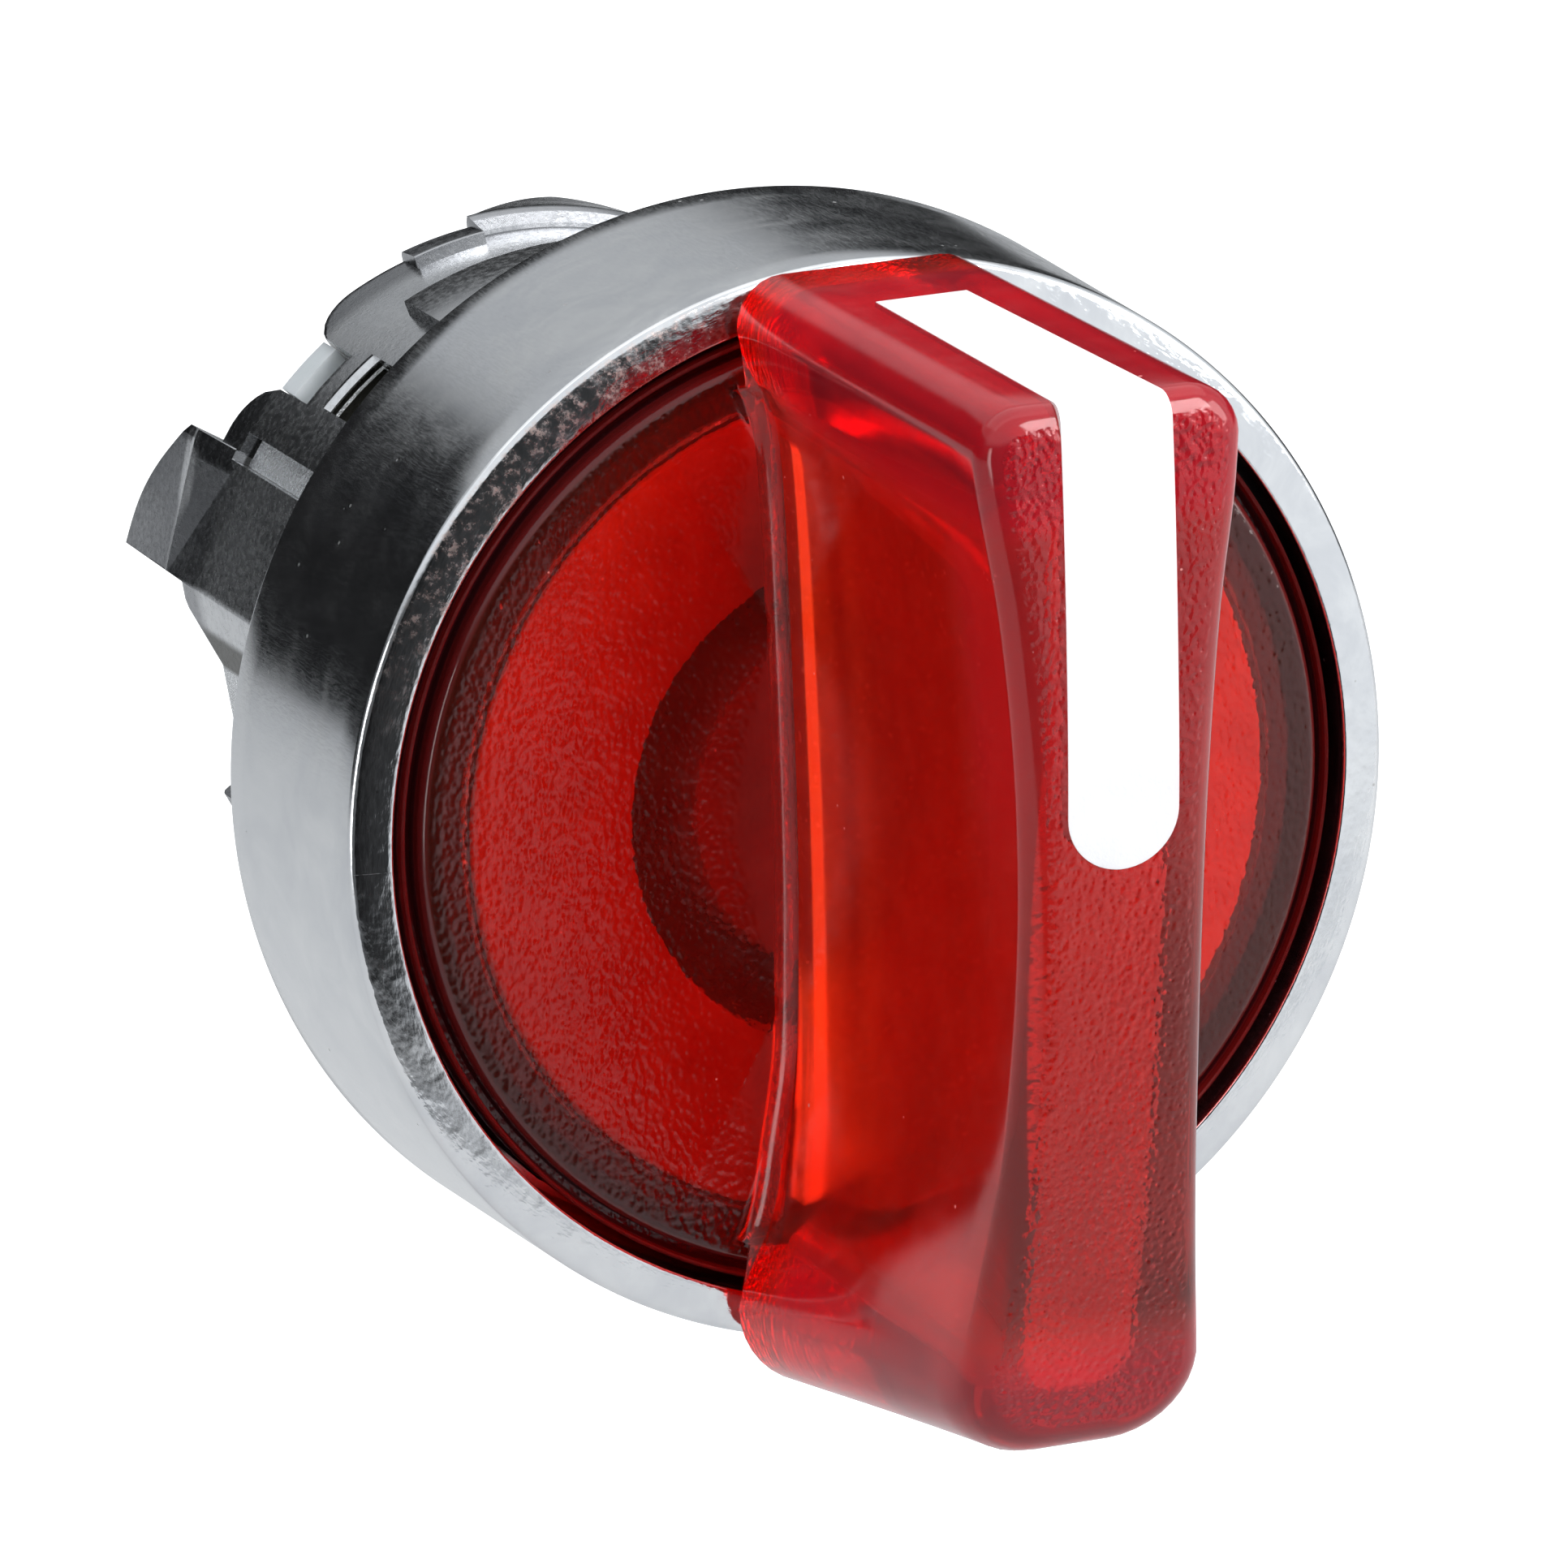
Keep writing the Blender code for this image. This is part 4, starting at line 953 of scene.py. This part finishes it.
def make_inner():
    guide = guide_block()
    fins = []
    for side in (-1, 1):
        rings = []
        for z, cut in ((-10.6, 0.25), (-10.3, 0.0), (10.0, 0.0), (10.3, 0.25)):
            rings.append([Vector((side * 1.46, -8.68, z)), Vector((side * 1.90, -8.68, z)),
                          Vector((side * 1.86, -9.98 + cut, z)), Vector((side * 1.50, -9.98 + cut, z))])
        fins.append(stacked_body("guide_fin_%d" % side, CLEAR, rings, smooth_angle=30.0))
    bridges = []
    for z in (-9.9, 9.6):
        rings = [[Vector((x, -8.68, z - 0.25)), Vector((x, -8.68, z + 0.25)), Vector((x, -9.10, z + 0.25)), Vector((x, -9.10, z - 0.25))]
                 for x in (-1.70, 1.70)]
        bridges.append(stacked_body("guide_bridge_%d" % z, CLEAR, rings, smooth_angle=30.0))
    for tool in fins + bridges:
        combine(guide, tool, "UNION")
    bake_modifiers(guide, fins + bridges, 30.0)
    while len(guide.data.materials) > 1:
        guide.data.materials.pop()
    for poly in guide.data.polygons:
        poly.material_index = 0
    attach(guide, "knob")
    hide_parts("light_guide")

    ring = lathe("diffuser_dish", OPAL, [(-7.05, 6.62), (-8.40, 6.62), (-8.50, 6.66), (-8.54, 6.75), (-8.54, 8.2), (-8.54, 9.6),
                                         (-8.54, 10.90), (-8.53, 10.98), (-8.49, 11.04), (-8.42, 11.07), (-7.62, 11.07), (-7.55, 10.85),
                                         (-7.05, 10.85)])
    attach(ring, "knob")
    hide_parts("diffuser_ring")

    pipe = turned_solid("light_pipe_rod", PIPE, [(-8.00, 0.0), (-8.00, 4.40), (-7.98, 4.50), (-7.92, 4.57), (-7.8, 4.60), (-2.20, 4.60), (-1.90, 4.10), (-0.20, 4.10),
                                                  (-0.18, 5.58), (-0.10, 5.60), (0.55, 5.60), (0.60, 5.55), (0.60, 4.10), (3.85, 4.10),
                                                  (3.97, 4.05), (4.00, 3.95), (4.00, 0.0)], segments=96)
    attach(pipe, "knob")
    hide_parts("light_pipe")


def make_rotor():
    tab = (264.0, 276.0)

    def section(a):
        reach = -3.10 if inside(a, (tab,)) else -4.55
        return [(-6.00, 6.68), (-6.00, 10.95), (-7.30, 11.05), (-7.42, 11.14), (-8.02, 11.17), (-8.06, 11.22), (-8.06, 11.76), (-8.00, 11.82),
                (-4.60, 11.78), (reach, 11.60), (reach, 10.75),
                (-4.60, 10.65), (-4.60, 10.35), (-3.78, 10.34), (-3.70, 10.26), (-3.70, 8.30),
                (-2.20, 8.30), (-2.20, 7.70), (-0.40, 7.70), (-0.40, 8.30),
                (4.47, 8.30), (4.55, 8.22), (4.55, 7.50), (5.75, 7.50), (5.75, 8.10), (6.20, 8.10), (6.20, 6.60),
                (-0.50, 6.60), (-0.50, 4.45), (-0.56, 4.40), (-1.44, 4.40), (-1.50, 4.45), (-1.50, 6.60), (-5.92, 6.60)]
    azimuths = fine_azimuths(2.5, [tab[0] - 0.1, tab[1] - 0.1], 0.2)
    ob = ring_body("rotor_carrier", DARK, azimuths, section, smooth_angle=35.0)
    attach(ob, "knob")
    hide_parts("rotor")


# ===========================================================================
# push rods, springs and guide
# ===========================================================================
ROD_R, CAM_MEAN_Y, GAP = 7.15, 10.00, 0.30


def coil(name, mat, cx, y0, y1, mean_r, wire_r, turns, sides=10, per_turn=30):
    steps = int(turns * per_turn)
    rings = []
    for i in range(steps + 1):
        t = i / steps
        turn = t * turns
        lift = min(max((turn - 0.6) / (turns - 1.2), 0.0), 1.0)
        dead = 0.5 * wire_r * (min(turn, 0.6) + max(0.0, turn - turns + 0.6))
        y = y0 + wire_r + lift * (y1 - y0 - 2.0 * wire_r - 1.2 * wire_r) + 2.0 * dead
        a = 2.0 * math.pi * turn
        out = Vector((math.cos(a), 0.0, math.sin(a)))
        mid = Vector((cx, y, 0.0)) + out * mean_r
        ring = []
        for k in range(sides):
            b = 2.0 * math.pi * k / sides
            ring.append(mid + out * (wire_r * math.cos(b)) + Vector((0.0, wire_r * math.sin(b), 0.0)))
        rings.append(ring)
    return stacked_body(name, mat, rings, smooth_angle=70.0)


def make_rods():
    slope = math.degrees(1.50 / 45.0) / ROD_R
    n = 48
    for word, side in (("left", -1), ("right", 1)):
        cx = side * ROD_R

        def pad(hx, hz, y_of):
            ring = []
            for i in range(n):
                b = 2.0 * math.pi * (i + 0.5) / n
                c, s = math.cos(b), math.sin(b)
                p = 5.0
                k = (abs(c) ** p + abs(s) ** p) ** (-1.0 / p)
                ring.append(Vector((cx + hx * c * k, y_of(hz * s * k), hz * s * k)))
            return ring

        def circle(r, y):
            return [Vector((cx + r * math.cos(2 * math.pi * (i + 0.5) / n), y, r * math.sin(2 * math.pi * (i + 0.5) / n))) for i in range(n)]

        rings = [pad(0.95, 1.25, lambda z: CAM_MEAN_Y + GAP + slope * z),
                 pad(1.07, 1.37, lambda z: CAM_MEAN_Y + GAP + 0.04 + slope * z),
                 pad(1.12, 1.42, lambda z: CAM_MEAN_Y + GAP + 0.14 + slope * z),
                 pad(1.12, 1.42, lambda z: 12.30), pad(1.05, 1.35, lambda z: 12.40),
                 circle(0.95, 12.40), circle(0.85, 12.50), circle(0.85, 18.30), circle(0.80, 18.45),
                 circle(0.70, 18.55), circle(0.50, 18.60)]
        rod = stacked_body("push_rod_" + word, TAB, rings, smooth_angle=35.0)
        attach(rod, word + "_push_rod")
        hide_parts("plunger_" + word)
        spring = coil("return_spring_" + word, STEEL, cx, 12.62, 15.40, 1.27, 0.14, 4.5)
        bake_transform(spring)
        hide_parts("plunger_spring_" + word)


def make_guide():
    tabs = ((127.1, 136.9), (307.1, 316.9))

    def section(a):
        key = 10.15 if inside(a, tabs) else 9.05
        inner = 4.90
        return [(14.20, inner + 0.12), (14.20, 9.05), (14.26, key), (14.80, key), (15.26, key), (15.34, key - 0.10 if key > 10 else key),
                (15.40, 9.05), (16.12, 9.05), (16.20, 8.95), (16.20, inner + 0.12), (16.08, inner), (14.32, inner)]
    edges = [t - 0.10 for pair in tabs for t in pair]
    guide = ring_body("rod_guide_plate", TAB, fine_azimuths(3.0, edges, 0.2), section, smooth_angle=35.0)
    tools = []
    for k, side in enumerate((-1, 1)):
        def disc(r, y, n=48):
            return [Vector((side * ROD_R + r * math.cos(2 * math.pi * (i + 0.37) / n), y, r * math.sin(2 * math.pi * (i + 0.37) / n))) for i in range(n)]
        bore = stacked_body("rod_bore_cutter_%d" % k, None,
                            [disc(1.65, 13.4), disc(1.65, 15.55), disc(1.15, 15.55), disc(1.15, 16.1), disc(1.30, 16.3), disc(1.30, 17.0)])
        combine(guide, bore, "DIFFERENCE")
        tools.append(bore)
    bake_modifiers(guide, tools, 35.0)
    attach(guide, "housing")
    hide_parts("plunger_guide")


make_housing()
make_knob()
make_pointer()
make_inner()
make_rotor()
make_rods()
make_guide()

for node, mat in (("panel_gasket", RUBBER), ("knob_lip_seal", RUBBER), ("rotor_o_ring", RUBBER),
                  ("thrust_washer", ACETAL), ("rotor_bush", ACETAL), ("cam_ring", ACETAL),
                  ("detent_spring_upper", STEEL), ("detent_spring_lower", STEEL), ("retaining_clip", STEEL)):
    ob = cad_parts[node]
    ob.data.materials.clear() if not len(ob.material_slots) else None
    for slot in ob.material_slots:
        slot.material = mat

# ===========================================================================
# floor, light and camera
# ===========================================================================
FLOOR_Z = -0.060


def make_floor():
    bm = bmesh.new()
    xs = [-0.75 + 1.5 * i / 12 for i in range(13)]
    ys = [-0.10 + 1.10 * i / 12 for i in range(13)]
    grid = [[bm.verts.new((x, y, FLOOR_Z)) for y in ys] for x in xs]
    for i in range(12):
        for j in range(12):
            bm.faces.new((grid[i][j], grid[i][j + 1], grid[i + 1][j + 1], grid[i + 1][j]))
    mesh = bpy.data.meshes.new("floor")
    bm.to_mesh(mesh)
    bm.free()
    ob = bpy.data.objects.new("floor", mesh)
    scene.collection.objects.link(ob)
    m = Mat("pale_floor", Base_Color=(0.92, 0.92, 0.92), Roughness=0.9)
    m.p.inputs["Emission Color"].default_value = (1.0, 1.0, 1.0, 1.0)
    seen = m.node("LightPath").outputs["Is Camera Ray"]
    m.drive(Emission_Strength=m.math("MULTIPLY", seen, 1.0))
    fine = m.noise(m.obj, 300.0, 3.0)
    m.drive(Base_Color=m.mix(fine, (0.46, 0.465, 0.47), (0.48, 0.485, 0.49)))
    mesh.materials.append(m.mat)


def area(name, at, look, size, power, colour=(1, 1, 1)):
    light = bpy.data.lights.new(name, "AREA")
    light.shape = "RECTANGLE"
    light.size, light.size_y = size
    light.energy = power
    light.color = colour
    ob = bpy.data.objects.new(name, light)
    scene.collection.objects.link(ob)
    ob.location = at
    d = (Vector(look) - Vector(at)).normalized()
    ob.rotation_euler = d.to_track_quat("-Z", "Y").to_euler()
    return ob


def make_world():
    world = bpy.data.worlds.new("studio")
    scene.world = world
    world.use_nodes = True
    nt = world.node_tree
    nt.nodes.clear()

    def math_node(op, a, b=0.0, clamp=False):
        n = nt.nodes.new("ShaderNodeMath")
        n.operation = op
        n.use_clamp = clamp
        for i, v in enumerate((a, b)):
            if isinstance(v, bpy.types.NodeSocket):
                nt.links.new(v, n.inputs[i])
            else:
                n.inputs[i].default_value = v
        return n.outputs[0]

    def ramp(value, lo, hi, a=0.0, b=1.0):
        n = nt.nodes.new("ShaderNodeMapRange")
        n.interpolation_type = "SMOOTHSTEP"
        for k, v in (("From Min", lo), ("From Max", hi), ("To Min", a), ("To Max", b)):
            n.inputs[k].default_value = v
        nt.links.new(value, n.inputs["Value"])
        return n.outputs["Result"]

    coord = nt.nodes.new("ShaderNodeTexCoord")
    sep = nt.nodes.new("ShaderNodeSeparateXYZ")
    nt.links.new(coord.outputs["Generated"], sep.inputs[0])
    x, y, z = sep.outputs
    # behind the object: a dark band over the floor's far edge, light above it
    back = ramp(y, 0.0, 0.35)
    lean = math_node("ADD", z, math_node("MULTIPLY", x, 0.15))
    band = ramp(lean, 0.325, 0.385, 0.014, 0.60)
    # in front: the dark side of the room, left of the axis
    blob_dir = Vector((-0.12, -0.985, -0.02)).normalized()
    dot = nt.nodes.new("ShaderNodeVectorMath")
    dot.operation = "DOT_PRODUCT"
    nt.links.new(coord.outputs["Generated"], dot.inputs[0])
    dot.inputs[1].default_value = blob_dir
    blob = ramp(dot.outputs["Value"], 0.86, 0.955, 1.12, 0.05)
    front_level = math_node("MULTIPLY", math_node("MULTIPLY", blob, ramp(z, -0.60, -0.20, 0.50, 1.0)), math_node("MAXIMUM", ramp(x, -0.50, 0.15, 0.12, 1.0), ramp(z, 0.25, 0.55)))
    level = math_node("ADD", math_node("MULTIPLY", back, band),
                      math_node("MULTIPLY", math_node("SUBTRACT", 1.0, back), front_level))
    bg = nt.nodes.new("ShaderNodeBackground")
    bg.inputs["Color"].default_value = (0.94, 0.97, 1.0, 1.0)
    nt.links.new(math_node("MULTIPLY", level, 0.9), bg.inputs["Strength"])
    plain = nt.nodes.new("ShaderNodeBackground")
    plain.inputs["Color"].default_value = (1.0, 1.0, 1.0, 1.0)
    plain.inputs["Strength"].default_value = 1.0
    path = nt.nodes.new("ShaderNodeLightPath")
    mix = nt.nodes.new("ShaderNodeMixShader")
    nt.links.new(path.outputs["Is Camera Ray"], mix.inputs[0])
    nt.links.new(bg.outputs[0], mix.inputs[1])
    nt.links.new(plain.outputs[0], mix.inputs[2])
    out = nt.nodes.new("ShaderNodeOutputWorld")
    nt.links.new(mix.outputs[0], out.inputs["Surface"])


make_floor()
make_world()
area("key_top", (0.24, -0.34, 0.46), (0.0, 0.0, 0.0), (0.32, 0.32), 2.8)
area("floor_wash", (0.0, 0.36, 0.66), (0.0, 0.36, -0.06), (1.1, 0.8), 1.8)
area("fill_right", (0.54, -0.34, 0.28), (0.0, 0.0, 0.0), (0.45, 0.45), 2.5)
area("rim_left", (-0.46, -0.17, -0.08), (0.0, 0.0, 0.0), (0.09, 0.50), 0.60)


def make_camera():
    d, az, el, roll, tx, ty, f = 0.400, -20.93, 15.16, -2.30, 0.00092, -0.00154, 18530.0
    a, e, r = rad(az), rad(el), rad(roll)
    bk = Vector((math.sin(a) * math.cos(e), -math.cos(a) * math.cos(e), math.sin(e)))
    rt = Vector((math.cos(a), math.sin(a), 0.0))
    up = bk.cross(rt)
    rt2 = math.cos(r) * rt + math.sin(r) * up
    up2 = -math.sin(r) * rt + math.cos(r) * up
    cam = bpy.data.cameras.new("camera")
    cam.sensor_fit = "HORIZONTAL"
    cam.sensor_width = 36.0
    cam.lens = f / 1932.0 * 36.0
    cam.clip_start, cam.clip_end = 0.01, 10.0
    ob = bpy.data.objects.new("camera", cam)
    scene.collection.objects.link(ob)
    rot = Matrix((rt2, up2, bk)).transposed()
    ob.matrix_world = Matrix.Translation(bk * d + rt2 * tx + up2 * ty) @ rot.to_4x4()
    scene.camera = ob


make_camera()
